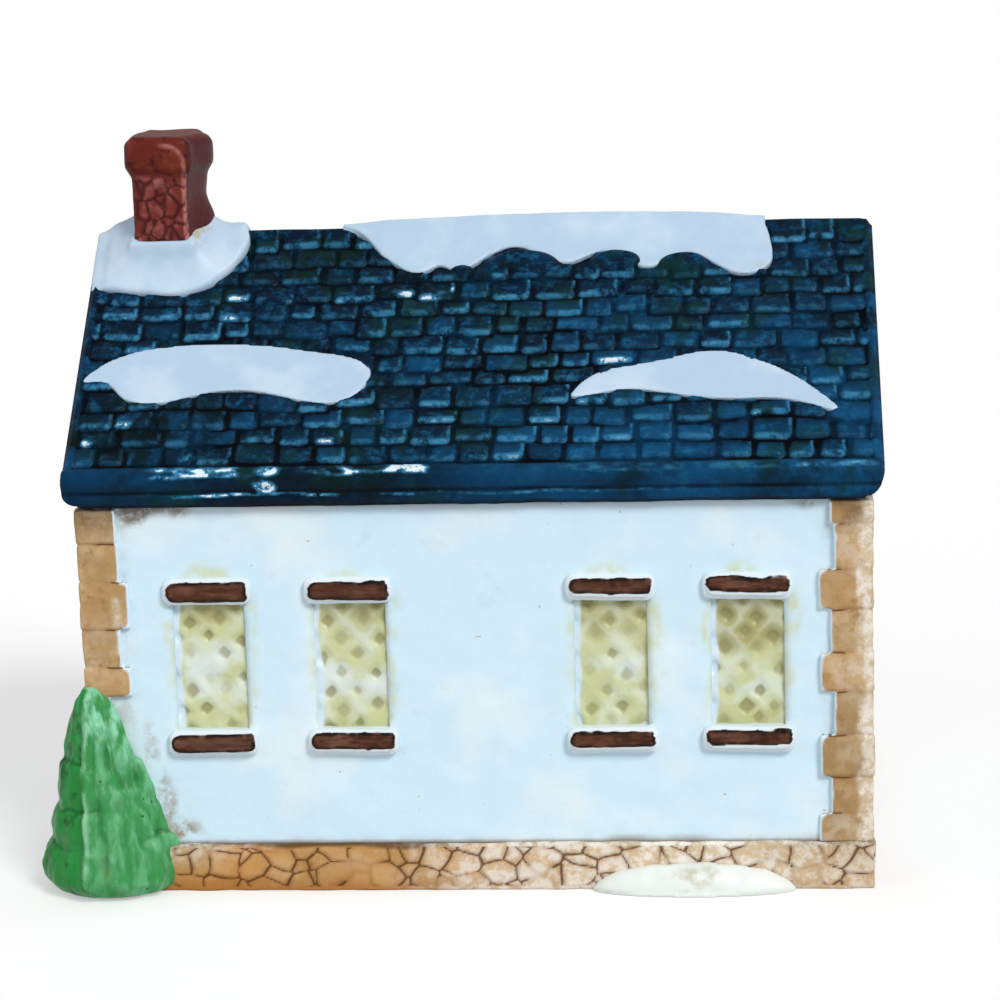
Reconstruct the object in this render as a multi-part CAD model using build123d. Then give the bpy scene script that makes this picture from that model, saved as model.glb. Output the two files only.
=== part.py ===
from build123d import *
import os
from math import cos, radians, sin, tan

# A ceramic village house: a hollow cast wall shell under a slate roof with a
# chimney, snow and a fir tree at one corner. The frame stands on the base, with
# +X along the ridge, -Y out of the wall with the four windows and +Z up.

# Wall shell
house_length = 108.0
house_depth = 65.0
wall_height = 56.3
wall_thickness = 3.6

# Base floor inside the shell, with the round light hole
floor_thickness = 3.2
light_hole_diameter = 28.0

# Stone plinth round the foot of the walls
plinth_height = 6.8
plinth_proud = 1.0
plinth_round = 0.6

# Corner stones
quoin_count = 9
quoin_long_leg = 6.4
quoin_short_leg = 4.8
quoin_proud = 0.8
quoin_bed_proud = 0.35
quoin_joint = 0.4
quoin_head_gap = 0.5
quoin_round = 0.25

# Windows
window_width = 10.0
window_height = 18.0
window_sill_level = 23.6
window_recess = 1.4
pane_thickness = 0.8
pane_clearance = 0.05
lattice_pitch_across = 4.5
lattice_pitch_up = 5.0
lattice_cell_width = 2.6
lattice_cell_height = 3.2
lattice_depth = 0.35
lattice_margin = 0.5

# Lintels over the openings and sills under them
lintel_length = 12.4
lintel_height = 3.8
lintel_proud = 1.3
sill_length = 12.8
sill_height = 3.7
sill_proud = 1.6
bar_round = 0.5

# Door in the far long wall
door_width = 12.0
door_height = 25.0
door_thickness = 0.8
door_plank_count = 4
door_plank_joint = 0.5
door_plank_depth = 0.3
door_lintel_length = 15.6
step_length = 17.0
step_tread = 3.4
step_round = 0.4

# Roof shell
roof_pitch = 41.0
roof_thickness = 3.0
eave_overhang = 0.3
verge_overhang = 2.4

# Band along each eave
band_depth = 1.4
band_height = 4.2
band_round = 0.6
band_end_round = 1.1

# Slates, as courses that thicken towards their lower edge
slate_courses = 13
slate_head = 0.35
slate_tail = 0.95
slate_setback = 1.0

# Chimney
chimney_inset = 4.3
stack_length = 8.0
stack_depth = 13.0
stack_rise = 9.7
stack_round = 0.5
cap_height = 5.9
cap_flare = 0.9
cap_flare_height = 1.6
cap_round = 1.3

# Snow pads that lie on the roof shell among the slates
drift_thickness = 1.4
ridge_snow_thickness = 1.7
left_drift_length = 41.0
left_drift_height = 11.0
left_drift_inset = 0.9
left_drift_up = 16.5
right_drift_length = 36.9
right_drift_height = 11.0
right_drift_inset = 5.7
right_drift_up = 13.8
ridge_snow_reach = 8.7
ridge_snow_gap = 13.5
ridge_snow_inset = 14.4
skirt_length = 22.7
skirt_reach = 11.7
bank_height = 2.85
bank_spread = 4.6
bank_reach = 9.0
apron_thickness = 0.9
apron_rise = 0.8

# Snow heaped against the plinth
ground_drift_length = 28.6
ground_drift_height = 4.0
ground_drift_depth = 3.5
ground_drift_inset = 10.9

# Fir tree that wraps the front left corner
tree_height = 31.5
tree_radius = 9.7
tree_foot_inset_x = 2.4
tree_foot_inset_y = 3.5
tree_tip_proud = 0.6

# How far a cutting tool runs past what it cuts
overrun = 5.0

# Middles of the windows of a long wall, as shares of the house's length
window_place_shares = (-0.3425, -0.16, 0.175, 0.349)
# Outlines, as shares of each snow pad's length and height
left_drift_shares = [
    (-0.50, -0.07), (-0.39, 0.30), (-0.22, 0.48), (0.04, 0.50), (0.32, 0.35),
    (0.50, 0.01), (0.42, -0.45), (0.355, -0.50), (0.165, -0.33), (-0.045, -0.29),
    (-0.28, -0.455), (-0.355, -0.335), (-0.43, -0.11),
]
right_drift_shares = [
    (-0.50, -0.145), (-0.395, 0.19), (-0.24, 0.31), (0.06, 0.50), (0.225, 0.31),
    (0.40, -0.09), (0.50, -0.50), (0.355, -0.345), (0.095, -0.28), (-0.165, -0.155),
    (-0.39, -0.155),
]
ridge_snow_shares = [
    (-0.50, 0.0), (-0.445, 0.23), (-0.395, 0.505), (-0.30, 0.84), (-0.265, 0.71),
    (-0.23, 0.83), (-0.162, 0.55), (-0.07, 0.39), (0.03, 0.70), (0.116, 0.46),
    (0.215, 0.83), (0.30, 0.55), (0.43, 1.0), (0.495, 0.79), (0.50, 0.46), (0.486, 0.0),
]
skirt_shares = [
    (0.0, 0.86), (0.14, 0.90), (0.40, 0.975), (0.56, 1.0), (0.81, 0.79),
    (0.95, 0.46), (1.0, 0.25), (0.985, 0.0),
]
# Tree tiers: level and radius at the tier's foot, at its bulge and at its head
tree_tier_shares = [
    ((0.0, 0.88), (0.12, 1.0), (0.25, 0.84)),
    ((0.25, 0.84), (0.31, 0.89), (0.42, 0.70)),
    ((0.42, 0.70), (0.47, 0.74), (0.60, 0.53)),
    ((0.60, 0.53), (0.66, 0.56), (0.80, 0.36)),
    ((0.80, 0.36), (0.86, 0.33), (1.0, 0.06)),
]

# Places that follow from the sizes above
slope = radians(roof_pitch)
half_length = house_length / 2
half_depth = house_depth / 2
ridge_underside = wall_height + half_depth * tan(slope)
ridge_level = ridge_underside + roof_thickness / cos(slope)
roof_length = house_length + 2 * verge_overhang
roof_half_depth = half_depth + eave_overhang
slope_length = roof_half_depth / cos(slope)
eave_underside = wall_height - eave_overhang * tan(slope)
chimney_x = -half_length + chimney_inset + stack_length / 2
stack_top = ridge_level + stack_rise
front_slope = Plane(
    origin=(0, 0, ridge_level), x_dir=(1, 0, 0), z_dir=(0, -sin(slope), cos(slope))
)


def block(low, high):
    size = [b - a for a, b in zip(low, high)]
    return Pos(*low) * Box(*size, align=(Align.MIN, Align.MIN, Align.MIN))


def mirrored_to_back(shape):
    return mirror(shape, about=Plane.XZ)


def turned_to_back(shape):
    return Rot(0, 0, 180) * shape


def wall_plane(side, along, level):
    """A frame on a wall's outer face: x along the wall, y up, z out of the house."""
    frames = {
        "front": ((along, -half_depth, level), (1, 0, 0), (0, -1, 0)),
        "back": ((-along, half_depth, level), (-1, 0, 0), (0, 1, 0)),
        "left": ((-half_length, -along, level), (0, -1, 0), (-1, 0, 0)),
        "right": ((half_length, along, level), (0, 1, 0), (1, 0, 0)),
    }
    origin, x_dir, z_dir = frames[side]
    return Plane(origin=origin, x_dir=x_dir, z_dir=z_dir)


def window_frames():
    """Name and frame of every window, with the frame at the middle of its foot."""
    frames = {}
    for side in ("front", "back"):
        for number, share in enumerate(window_place_shares, start=1):
            along = share * house_length
            frames[f"{side}_window_{number}"] = wall_plane(side, along, window_sill_level)
    for side in ("left", "right"):
        frames[f"{side}_window"] = wall_plane(side, 0, window_sill_level)
    return frames


def door_frame():
    return wall_plane("back", 0, plinth_height)


def upright(width, height, thickness):
    """A flat panel that stands on its frame's origin and reaches outwards by thickness."""
    return Box(width, height, thickness, align=(Align.CENTER, Align.MIN, Align.MIN))


# Walls, floor and plinth


def house_prism():
    """The whole house under its roof, as one block with gable ends."""
    outline = Polyline(
        (-half_depth, 0),
        (half_depth, 0),
        (half_depth, wall_height),
        (0, ridge_underside),
        (-half_depth, wall_height),
        close=True,
    )
    return extrude(make_face(Plane.YZ * outline), amount=half_length, both=True)


def wall_shell():
    inner_x = half_length - wall_thickness
    inner_y = half_depth - wall_thickness
    hollow = block((-inner_x, -inner_y, -overrun), (inner_x, inner_y, ridge_level + overrun))
    shell = house_prism() - hollow
    recess = upright(window_width, window_height, window_recess + overrun)
    for frame in window_frames().values():
        shell -= frame * Pos(0, 0, -window_recess) * recess
    doorway = upright(door_width, door_height, window_recess + overrun)
    shell -= door_frame() * Pos(0, 0, -window_recess) * doorway
    return shell


def base_floor():
    plate = Box(
        house_length - 2 * wall_thickness,
        house_depth - 2 * wall_thickness,
        floor_thickness,
        align=(Align.CENTER, Align.CENTER, Align.MIN),
    )
    hole = Cylinder(light_hole_diameter / 2, 2 * (floor_thickness + overrun))
    return plate - hole


def plinth_block(proud):
    return Box(
        house_length + 2 * proud,
        house_depth + 2 * proud,
        plinth_height,
        align=(Align.CENTER, Align.CENTER, Align.MIN),
    )


def stone_plinth():
    body = plinth_block(plinth_proud)
    rim = body.edges().group_by(Axis.Z)[-1] + body.edges().filter_by(Axis.Z)
    return fillet(rim, plinth_round) - plinth_block(0)


def quoin_strip():
    """Corner stones at the front left corner: a thin bed with stones standing out of it."""
    head = eave_underside - quoin_head_gap
    pitch = (head - plinth_height) / quoin_count

    def angle_block(leg_x, leg_y, proud, low, high):
        outer = block(
            (-half_length - proud, -half_depth - proud, low),
            (-half_length + leg_x, -half_depth + leg_y, high),
        )
        corner = block(
            (-half_length, -half_depth, low - overrun),
            (half_length, half_depth, high + overrun),
        )
        return outer - corner

    strip = angle_block(quoin_short_leg, quoin_short_leg, quoin_bed_proud, plinth_height, head)
    for course in range(quoin_count):
        legs = (quoin_long_leg, quoin_short_leg)
        leg_x, leg_y = legs if course % 2 == 0 else legs[::-1]
        low = plinth_height + course * pitch
        stone = angle_block(leg_x, leg_y, quoin_proud, low, low + pitch - quoin_joint)
        outer_edge = stone.edges().filter_by(Axis.Z).sort_by(Axis.X)[0]
        strip += fillet(outer_edge, quoin_round)
    return strip


def quoins():
    front_left = quoin_strip()
    front_right = mirror(front_left, about=Plane.YZ)
    return {
        "quoins_front_left": front_left,
        "quoins_front_right": front_right,
        "quoins_back_left": mirrored_to_back(front_left),
        "quoins_back_right": mirrored_to_back(front_right),
    }


# Windows and door


def lattice_pane():
    width = window_width - 2 * pane_clearance
    height = window_height - 2 * pane_clearance
    pane = Pos(0, pane_clearance, 0) * upright(width, height, pane_thickness)
    field = Pos(0, window_height / 2) * Rectangle(
        width - 2 * lattice_margin, height - 2 * lattice_margin
    )
    half_cell = (lattice_cell_width / 2, lattice_cell_height / 2)
    diamond = make_face(
        Polyline(
            (half_cell[0], 0), (0, half_cell[1]), (-half_cell[0], 0), (0, -half_cell[1]),
            close=True,
        )
    )
    columns = round(window_width / lattice_pitch_across) + 1
    rows = 2 * round(window_height / lattice_pitch_up)
    cells = []
    for row in range(rows + 1):
        shift = 0 if row % 2 == 0 else lattice_pitch_across / 2
        for column in range(-columns, columns + 1):
            place = Pos(column * lattice_pitch_across + shift, row * lattice_pitch_up / 2)
            clipped = (place * diamond) & field
            if clipped:
                cells.extend(clipped.faces())
    dimples = extrude(Sketch() + cells, amount=lattice_depth + overrun)
    return pane - Pos(0, 0, pane_thickness - lattice_depth) * dimples


def rounded_bar(length, height, proud):
    bar = upright(length, height, proud)
    return fillet(bar.edges().group_by(Axis.Z)[-1] + bar.edges().filter_by(Axis.Z), bar_round)


def windows():
    pane = lattice_pane()
    lintel = rounded_bar(lintel_length, lintel_height, lintel_proud)
    sill = rounded_bar(sill_length, sill_height, sill_proud)
    nodes = {}
    for name, frame in window_frames().items():
        nodes[f"{name}_pane"] = frame * Pos(0, 0, -window_recess) * pane
        nodes[f"{name}_lintel"] = frame * Pos(0, window_height, 0) * lintel
        nodes[f"{name}_sill"] = frame * Pos(0, -sill_height, 0) * sill
    return nodes


def door_panel():
    width = door_width - 2 * pane_clearance
    height = door_height - pane_clearance
    panel = upright(width, height, door_thickness)
    joint = upright(door_plank_joint, height + overrun, door_plank_depth + overrun)
    for number in range(1, door_plank_count):
        along = (number / door_plank_count - 1 / 2) * width
        panel -= Pos(along, 0, door_thickness - door_plank_depth) * joint
    return door_frame() * Pos(0, 0, -window_recess) * panel


def door_lintel():
    bar = rounded_bar(door_lintel_length, lintel_height, lintel_proud)
    return door_frame() * Pos(0, door_height, 0) * bar


def door_step():
    frame = wall_plane("back", 0, 0)
    lower = upright(step_length, plinth_height / 2, 2 * step_tread)
    upper = upright(step_length, plinth_height, step_tread)
    steps = fillet((lower + upper).edges().filter_by(Axis.X).group_by(Axis.Y)[-1], step_round)
    return frame * Pos(0, 0, plinth_proud) * steps


# Roof


def under_roof():
    """Everything below the top faces of the roof shell."""
    outline = Polyline(
        (-roof_half_depth, -overrun),
        (roof_half_depth, -overrun),
        (roof_half_depth, ridge_level - roof_half_depth * tan(slope)),
        (0, ridge_level),
        (-roof_half_depth, ridge_level - roof_half_depth * tan(slope)),
        close=True,
    )
    return extrude(make_face(Plane.YZ * outline), amount=roof_length / 2, both=True)


def roof_shell():
    below = Polyline(
        (-roof_half_depth - overrun, eave_underside - overrun * tan(slope)),
        (0, ridge_underside),
        (roof_half_depth + overrun, eave_underside - overrun * tan(slope)),
        (roof_half_depth + overrun, -2 * overrun),
        (-roof_half_depth - overrun, -2 * overrun),
        close=True,
    )
    room = extrude(make_face(Plane.YZ * below), amount=roof_length / 2 + overrun, both=True)
    return under_roof() - room


def eave_band():
    """Rolled band on the front eave, flat where it meets the roof shell."""
    strip = block(
        (-roof_length / 2, -roof_half_depth - band_depth, eave_underside),
        (roof_length / 2, -roof_half_depth, eave_underside + band_height),
    )
    front = strip.faces().sort_by(Axis.Y)[0]
    strip = fillet(front.edges().filter_by(Axis.Z), band_end_round)
    front = strip.faces().sort_by(Axis.Y)[0]
    return fillet(front.edges().filter_by(Axis.X), band_round)


def slate_layer():
    """Courses of the front slope, drawn across the slope: down the slope and out of it."""
    profile_plane = Plane(
        origin=(roof_length / 2, 0, ridge_level),
        x_dir=(0, -cos(slope), -sin(slope)),
        z_dir=(-1, 0, 0),
    )
    pitch = (slope_length - slate_setback) / slate_courses
    points = [(0, 0), (slate_courses * pitch, 0)]
    for course in range(slate_courses, 0, -1):
        points.append((course * pitch, slate_tail))
        if course > 1:
            points.append(((course - 1) * pitch, slate_head))
    points.append((-slate_head * tan(slope), slate_head))
    profile = make_face(profile_plane * Polyline(*points, close=True))
    return extrude(profile, amount=roof_length, dir=(-1, 0, 0))


# Snow


def slope_pad(outline, thickness):
    """A closed outline on the front slope, raised by thickness."""
    face = make_face(outline)
    return extrude(front_slope * face, amount=thickness, dir=front_slope.z_dir)


def drift(shares, size, along, up):
    """A drift whose middle lies along the house and up the slope from the eave."""
    length, height = size
    points = [(along + u * length, v * height + up - slope_length) for u, v in shares]
    return slope_pad(Spline(points, periodic=True), drift_thickness)


def left_drift():
    along = -roof_length / 2 + left_drift_inset + left_drift_length / 2
    size = (left_drift_length, left_drift_height)
    return drift(left_drift_shares, size, along, left_drift_up)


def right_drift():
    along = roof_length / 2 - right_drift_inset - right_drift_length / 2
    size = (right_drift_length, right_drift_height)
    return drift(right_drift_shares, size, along, right_drift_up)


def front_half(shape):
    """What lies on the front slope's side of the ridge."""
    reach = roof_length
    return shape & block((-reach, -reach, 0), (reach, 0, ridge_level + reach))


def over_ridge(front):
    """A piece that is alike on both slopes, mitred on the ridge."""
    half = front_half(front)
    return half + mirrored_to_back(half)


def edge_pad(points, thickness):
    """A pad whose lower edge is a curve and whose upper edge runs over the ridge."""
    first, last = points[0], points[-1]
    edge = Spline(points)
    over = Polyline(last, (last[0], overrun), (first[0], overrun), first)
    return slope_pad(edge + over, thickness)


def ridge_snow():
    left_end = -roof_length / 2 + skirt_length + ridge_snow_gap
    right_end = roof_length / 2 - ridge_snow_inset
    middle = (left_end + right_end) / 2
    length = right_end - left_end
    points = [(middle + u * length, -w * ridge_snow_reach) for u, w in ridge_snow_shares]
    return over_ridge(edge_pad(points, ridge_snow_thickness)) - under_roof()


def chimney_snow():
    """A pad round the chimney with banks at its sides and an apron on its faces."""
    left_end = -roof_length / 2
    points = [(left_end + u * skirt_length, -w * skirt_reach) for u, w in skirt_shares]
    front = edge_pad(points, ridge_snow_thickness)
    for direction in (-1, 1):
        side = chimney_x + direction * stack_length / 2
        bank = make_face(
            Polyline(
                (chimney_x, 0),
                (chimney_x, bank_height),
                (side, bank_height),
                (side + direction * bank_spread, ridge_snow_thickness),
                (side + direction * bank_spread, 0),
                close=True,
            )
        )
        section = Plane(
            origin=front_slope.from_local_coords((0, overrun, 0)),
            x_dir=(1, 0, 0),
            z_dir=-front_slope.y_dir,
        )
        flipped = mirror(bank, about=Plane.XZ)
        front += extrude(section * flipped, amount=overrun + bank_reach, dir=-front_slope.y_dir)
    apron_y = stack_depth / 2 + apron_thickness
    front += block(
        (chimney_x - stack_length / 2 - apron_thickness, -apron_y, 0),
        (chimney_x + stack_length / 2 + apron_thickness, 0, ridge_level + apron_rise),
    )
    return over_ridge(front) - under_roof() - chimney_block()


def ground_drift():
    heap = scale(
        Sphere(1), by=(ground_drift_length / 2, ground_drift_depth, ground_drift_height)
    )
    face_y = -half_depth - plinth_proud
    kept = block(
        (-ground_drift_length, -2 * ground_drift_depth, 0),
        (ground_drift_length, 0, 2 * ground_drift_height),
    )
    along = half_length + plinth_proud - ground_drift_inset - ground_drift_length / 2
    return Pos(along, face_y, 0) * (heap & kept)


# Chimney


def chimney_block():
    section = Pos(chimney_x, 0) * RectangleRounded(stack_length, stack_depth, stack_round)
    return extrude(section, amount=stack_top)


def chimney_stack():
    return chimney_block() - under_roof()


def chimney_cap():
    def outline(level, grow):
        plane = Plane(origin=(chimney_x, 0, stack_top + level))
        return plane * RectangleRounded(
            stack_length + 2 * grow, stack_depth + 2 * grow, stack_round + grow
        )

    flare = loft([outline(0, 0), outline(cap_flare_height, cap_flare)])
    crown = extrude(outline(cap_flare_height, cap_flare), amount=cap_height - cap_flare_height)
    crown = fillet(crown.edges().group_by(Axis.Z)[-1], cap_round)
    return flare + crown


# Tree


def fir_tree():
    foot = Vector(-half_length + tree_foot_inset_x, -half_depth + tree_foot_inset_y, 0)
    tip = Vector(-half_length - tree_tip_proud, -half_depth - tree_tip_proud, 0)

    def ring(level_share, radius_share):
        centre = foot + (tip - foot) * level_share
        plane = Plane(origin=(centre.X, centre.Y, level_share * tree_height))
        return plane * Circle(radius_share * tree_radius)

    tree = Part()
    for tier in tree_tier_shares:
        tree += loft([ring(*shares) for shares in tier])
    tree -= house_prism()
    tree -= plinth_block(plinth_proud)
    tree -= quoin_strip()
    return tree.solids().sort_by(SortBy.VOLUME)[-1]


def all_nodes():
    snow = {
        "snow_drift_front_left": left_drift(),
        "snow_drift_front_right": right_drift(),
        "snow_ridge": ridge_snow(),
        "snow_chimney": chimney_snow(),
    }
    front_slates = slate_layer() - chimney_block()
    back_slates = turned_to_back(slate_layer()) - chimney_block()
    for name, pad in snow.items():
        front_slates -= pad
        if name in ("snow_ridge", "snow_chimney"):
            back_slates -= pad
    snow["snow_drift_back_left"] = turned_to_back(snow["snow_drift_front_left"])
    snow["snow_drift_back_right"] = turned_to_back(snow["snow_drift_front_right"])
    back_slates -= snow["snow_drift_back_left"]
    back_slates -= snow["snow_drift_back_right"]
    return {
        "wall_shell": wall_shell(),
        "base_floor": base_floor(),
        "stone_plinth": stone_plinth(),
        **quoins(),
        **windows(),
        "door_panel": door_panel(),
        "door_lintel": door_lintel(),
        "door_step": door_step(),
        "roof_shell": roof_shell(),
        "slates_front": front_slates,
        "slates_back": back_slates,
        "eave_band_front": eave_band(),
        "eave_band_back": mirrored_to_back(eave_band()),
        "chimney_stack": chimney_stack(),
        "chimney_cap": chimney_cap(),
        **snow,
        "snow_ground_drift": ground_drift(),
        "fir_tree": fir_tree(),
    }


def main():
    os.makedirs("parts", exist_ok=True)
    for name, shape in all_nodes().items():
        export_step(shape, f"parts/{name}.step")


main()
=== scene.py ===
import bisect
import math
import random

import bmesh
import bpy
from mathutils import Matrix, Vector, noise
from mathutils.bvhtree import BVHTree


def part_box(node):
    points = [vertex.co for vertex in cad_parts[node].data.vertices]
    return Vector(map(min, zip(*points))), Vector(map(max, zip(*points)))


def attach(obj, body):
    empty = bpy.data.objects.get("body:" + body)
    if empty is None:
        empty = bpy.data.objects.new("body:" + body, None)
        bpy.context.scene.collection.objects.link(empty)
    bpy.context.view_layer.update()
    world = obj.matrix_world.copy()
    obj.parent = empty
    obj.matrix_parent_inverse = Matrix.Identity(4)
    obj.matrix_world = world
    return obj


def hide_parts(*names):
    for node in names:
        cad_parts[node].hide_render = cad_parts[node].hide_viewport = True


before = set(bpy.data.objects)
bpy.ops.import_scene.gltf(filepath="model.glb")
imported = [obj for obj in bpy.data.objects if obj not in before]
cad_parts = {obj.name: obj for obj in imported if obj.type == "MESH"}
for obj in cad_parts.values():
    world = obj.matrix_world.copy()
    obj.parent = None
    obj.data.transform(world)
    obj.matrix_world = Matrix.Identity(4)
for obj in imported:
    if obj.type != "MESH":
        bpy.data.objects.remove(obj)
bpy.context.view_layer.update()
mm = 0.001
print("frame loaded with", len(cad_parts), "nodes")


# Colours and nodes

def hexColour(code):
    channels = [int(code[i:i + 2], 16) / 255 for i in (1, 3, 5)]
    return [c / 12.92 if c <= 0.04045 else ((c + 0.055) / 1.055) ** 2.4 for c in channels] + [1.0]


def addNode(material, kind, settings=None, links=None):
    node = material.node_tree.nodes.new(kind)
    for key, value in (settings or {}).items():
        if isinstance(key, int) or key in node.inputs:
            node.inputs[key].default_value = value
        else:
            setattr(node, key, value)
    for key, source in (links or {}).items():
        material.node_tree.links.new(source, node.inputs[key])
    return node


def cover(material, *parts):
    # how much of a paint shows: the product of its parts
    # a part is a mark stored on the mesh, a grain (size in mm, detail, roughness) or a list of parts,
    # and the numbers after it stretch its values: low and high, then the top and the bottom that come out
    place = material.node_tree.nodes["Texture Coordinate"].outputs["Object"]
    product = None
    for part in parts:
        source, *stretch = [part] if isinstance(part, str) else part
        if isinstance(source, str):
            socket = addNode(material, "ShaderNodeAttribute", {"attribute_name": source}).outputs["Fac"]
        elif isinstance(source, list):
            socket = cover(material, *source)
        else:
            size, detail, *rough = source
            sizes = size if isinstance(size, tuple) else (size,) * 3
            scale = [1 / (s * mm) for s in sizes]
            sized = addNode(material, "ShaderNodeMapping", {"Scale": scale}, {"Vector": place}).outputs[0]
            settings = {"Scale": 1.0, "Detail": detail, "Roughness": rough[0] if rough else 0.55}
            socket = addNode(material, "ShaderNodeTexNoise", settings, {"Vector": sized}).outputs["Fac"]
        if stretch:
            settings = dict(zip(("From Min", "From Max", "To Max", "To Min"), stretch))
            settings["interpolation_type"] = "SMOOTHSTEP"
            socket = addNode(material, "ShaderNodeMapRange", settings, {"Value": socket}).outputs[0]
        if product is not None:
            both = {0: product, 1: socket}
            socket = addNode(material, "ShaderNodeMath", {"operation": "MULTIPLY"}, both).outputs[0]
        product = socket
    return product


def makeFinish(name, settings, ground, layers, grain, bumpMm):
    # paint over the ground colour, each layer a colour and the parts of its cover, on clay with this grain
    material = bpy.data.materials.new(name)
    material.use_nodes = True
    links = material.node_tree.links
    shader = material.node_tree.nodes["Principled BSDF"]
    for key, value in settings.items():
        shader.inputs[key].default_value = value
    addNode(material, "ShaderNodeTexCoord")
    colour = None
    for code, *parts in layers:
        mixed = {"data_type": "RGBA", 6: hexColour(ground), 7: hexColour(code)}
        mix = addNode(material, "ShaderNodeMix", mixed, {0: cover(material, *parts)})
        if colour is not None:
            links.new(colour, mix.inputs[6])
        colour = mix.outputs[2]
    depth = {"Strength": 1.0, "Distance": bumpMm * mm}
    bump = addNode(material, "ShaderNodeBump", depth, {"Height": cover(material, (grain,))})
    links.new(bump.outputs[0], shader.inputs["Normal"])
    links.new(colour, shader.inputs["Base Color"])
    return material


# Materials

finishes = {}

# brushed white underglaze on bisque: satin, slightly blue, with thin yellow overspray, brown smudges and a
# dark blue band under the eave that is partly glaze run-off and partly painted shade
finishes["white_wall"] = makeFinish(
    "white painted bisque", {"Roughness": 0.45, "IOR": 1.48}, "#D3EDFB", [
        ("#E3F3F8", ((16, 3), 0.46, 0.70)),
        ("#BCD2DF", ((4, 4), 0.60, 0.84, 0.4)),
        ("#CFD6A8", "glow", ((3, 4), 0.32, 0.64, 0.85)),
        ("#94805C", "grime", ((2.4, 5, 0.65), 0.36, 0.62)),
        ("#6A552E", ("smudge", 0.0, 1.0, 0.9), ((1.3, 4), 0.20, 0.60)),
        ("#6E4A20", "foot"),
        ("#8A98A0", ((1.1, 1), 0.79, 0.82, 0.6)),
        # painted shade under the eave, over navy glaze that ran down the wall
        ("#27435A", "drip"),
    ], (1.6, 4), 0.07)

# thick dark blue glaze: nearly black in the joints, and as painted shade at the heads of the slates and in
# the eave band's channel and underside; thin and pale on the raised edges, partly as painted highlight
rimsAndGlints = ["worn", ((1.8, 4, 0.65), 0.28, 0.62)]
navy = finishes["slate_blue"] = makeFinish(
    "navy glazed slate", {"IOR": 1.5, "Specular IOR Level": 0.08}, "#00172B", [
        ("#07466F", ("tone", 0.34, 1.05)),
        ("#176C9C", "streaky", ((1.6, 5, 0.65), 0.46, 0.76, 0.6)),
        ("#06302F", ((8, 4, 0.6), 0.50, 0.64, 0.8)),
        ("#01100F", "pool", ((3.0, 3), 0.34, 0.60, 0.9)),
        # painted shade: near black where the relief mark is low, in the joints, at the slates' heads and in
        # the band's channel and underside
        ("#00040A", ("relief", 0.90, 0.25), ((11, 3), 0.33, 0.63, 1.0, 0.45)),
        # painted highlight over rubbed glaze: pale rims on the slates' lower and right edges, white smears
        # on the eave band, and white glints
        ("#3C88B2", (rimsAndGlints, 0.02, 0.90, 0.85)),
        ("#DCE9F1", (rimsAndGlints, 0.74, 1.10)),
    ], (0.9, 4), 0.12)
# it shines in patches and is dull down in the joints
patchy = addNode(navy, "ShaderNodeMapRange", {"To Min": 0.18, "To Max": 0.55},
                 {"Value": cover(navy, ((2.2, 3),))})
dull = addNode(navy, "ShaderNodeMath", {"operation": "MAXIMUM"},
               {0: patchy.outputs[0], 1: cover(navy, ("relief", 0.7, 0.2, 0.9))})
navy.node_tree.links.new(dull.outputs[0], navy.node_tree.nodes["Principled BSDF"].inputs["Roughness"])

# white glaze over thick slip: smooth and bluish, with faint grey smudges and a yellowed stain
finishes["snow_white"] = makeFinish(
    "white glazed snow", {"Roughness": 0.45, "IOR": 1.48}, "#B2CAE0", [
        ("#C3D7E8", ((9, 3), 0.45, 0.7)),
        ("#9DB6C9", ((3, 4), 0.64, 0.85, 0.4)),
        ("#EDF1EA", "clean"),
        ("#B2A97C", "stain", ((2.6, 5), 0.40, 0.64)),
    ], (2.2, 3), 0.06)

# wiped tan stain: it stays brown in the cracks and rubs through to white on the corners
rubbed = ((1.8, 5, 0.7), 0.40, 0.58)
finishes["tan_stone"] = makeFinish(
    "tan stained bisque", {"Roughness": 0.50, "IOR": 1.48, "Specular IOR Level": 0.16}, "#AE9064", [
        ("#C6AC86", ((4, 4), 0.42, 0.66)),
        ("#8E683A", ((2.6, 6, 0.7), 0.50, 0.70, 0.8)),
        ("#CB9350", "warm"),
        ("#A4682A", "damp"),
        ("#4E3616", "stain"),
        ("#5A3714", ("relief", 0.44, 0.22, 0.85)),
        ("#DFCEB0", ("pale", 0.0, 1.0, 0.75)),
        ("#F0EBE2", "pale", rubbed),
        ("#E3D6C0", ("relief", 0.58, 0.80, 0.8), rubbed),
        ("#8E5E2A", ("crack", 0.10, 0.95, 0.4)),
        ("#5E3814", ("crack", 0.76, 0.92, 0.85)),
        ("#D9EAF3", "white"),
    ], (0.9, 4), 0.07)

# dark brown paint laid on with one stroke: thin in the middle, almost black where it gathers at the edge
brushed = ("paint", 0.40, 0.47)
finishes["dark_brown_wood_paint"] = makeFinish(
    "brown brushed bisque", {"Roughness": 0.42, "IOR": 1.48, "Specular IOR Level": 0.14}, "#DEEAF1", [
        ("#4E2A19", brushed),
        ("#86604E", brushed, "thin", (((4, 4, 1), 5, 0.65), 0.38, 0.64)),
        ("#34190D", brushed, (((8, 8, 2), 4), 0.50, 0.70, 0.8)),
        ("#150904", "rim", ((1.7, 4), 0.30, 0.52)),
    ], ((2.8, 2.8, 0.7), 4), 0.06)

# thin yellow wash over white: it runs into the dimples and along the rim and leaves the raised lattice pale;
# along the right rim its dark olive is partly a painted shadow of the jamb
clouds = (4.5, 3, 0.5)
finishes["window_cream"] = makeFinish(
    "cream washed pane", {"Roughness": 0.38, "IOR": 1.48}, "#C8CD98", [
        ("#D6DDBB", (clouds, 0.42, 0.62, 0.8)),
        ("#DDE8E3", "bare", (clouds, 0.34, 0.60)),
        ("#A09A64", "wash"),
        ("#8C8650", ("relief", 0.95, 0.10, 0.75)),
        ("#D6E8F2", "missed"),
    ], (1.2, 4), 0.06)
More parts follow.
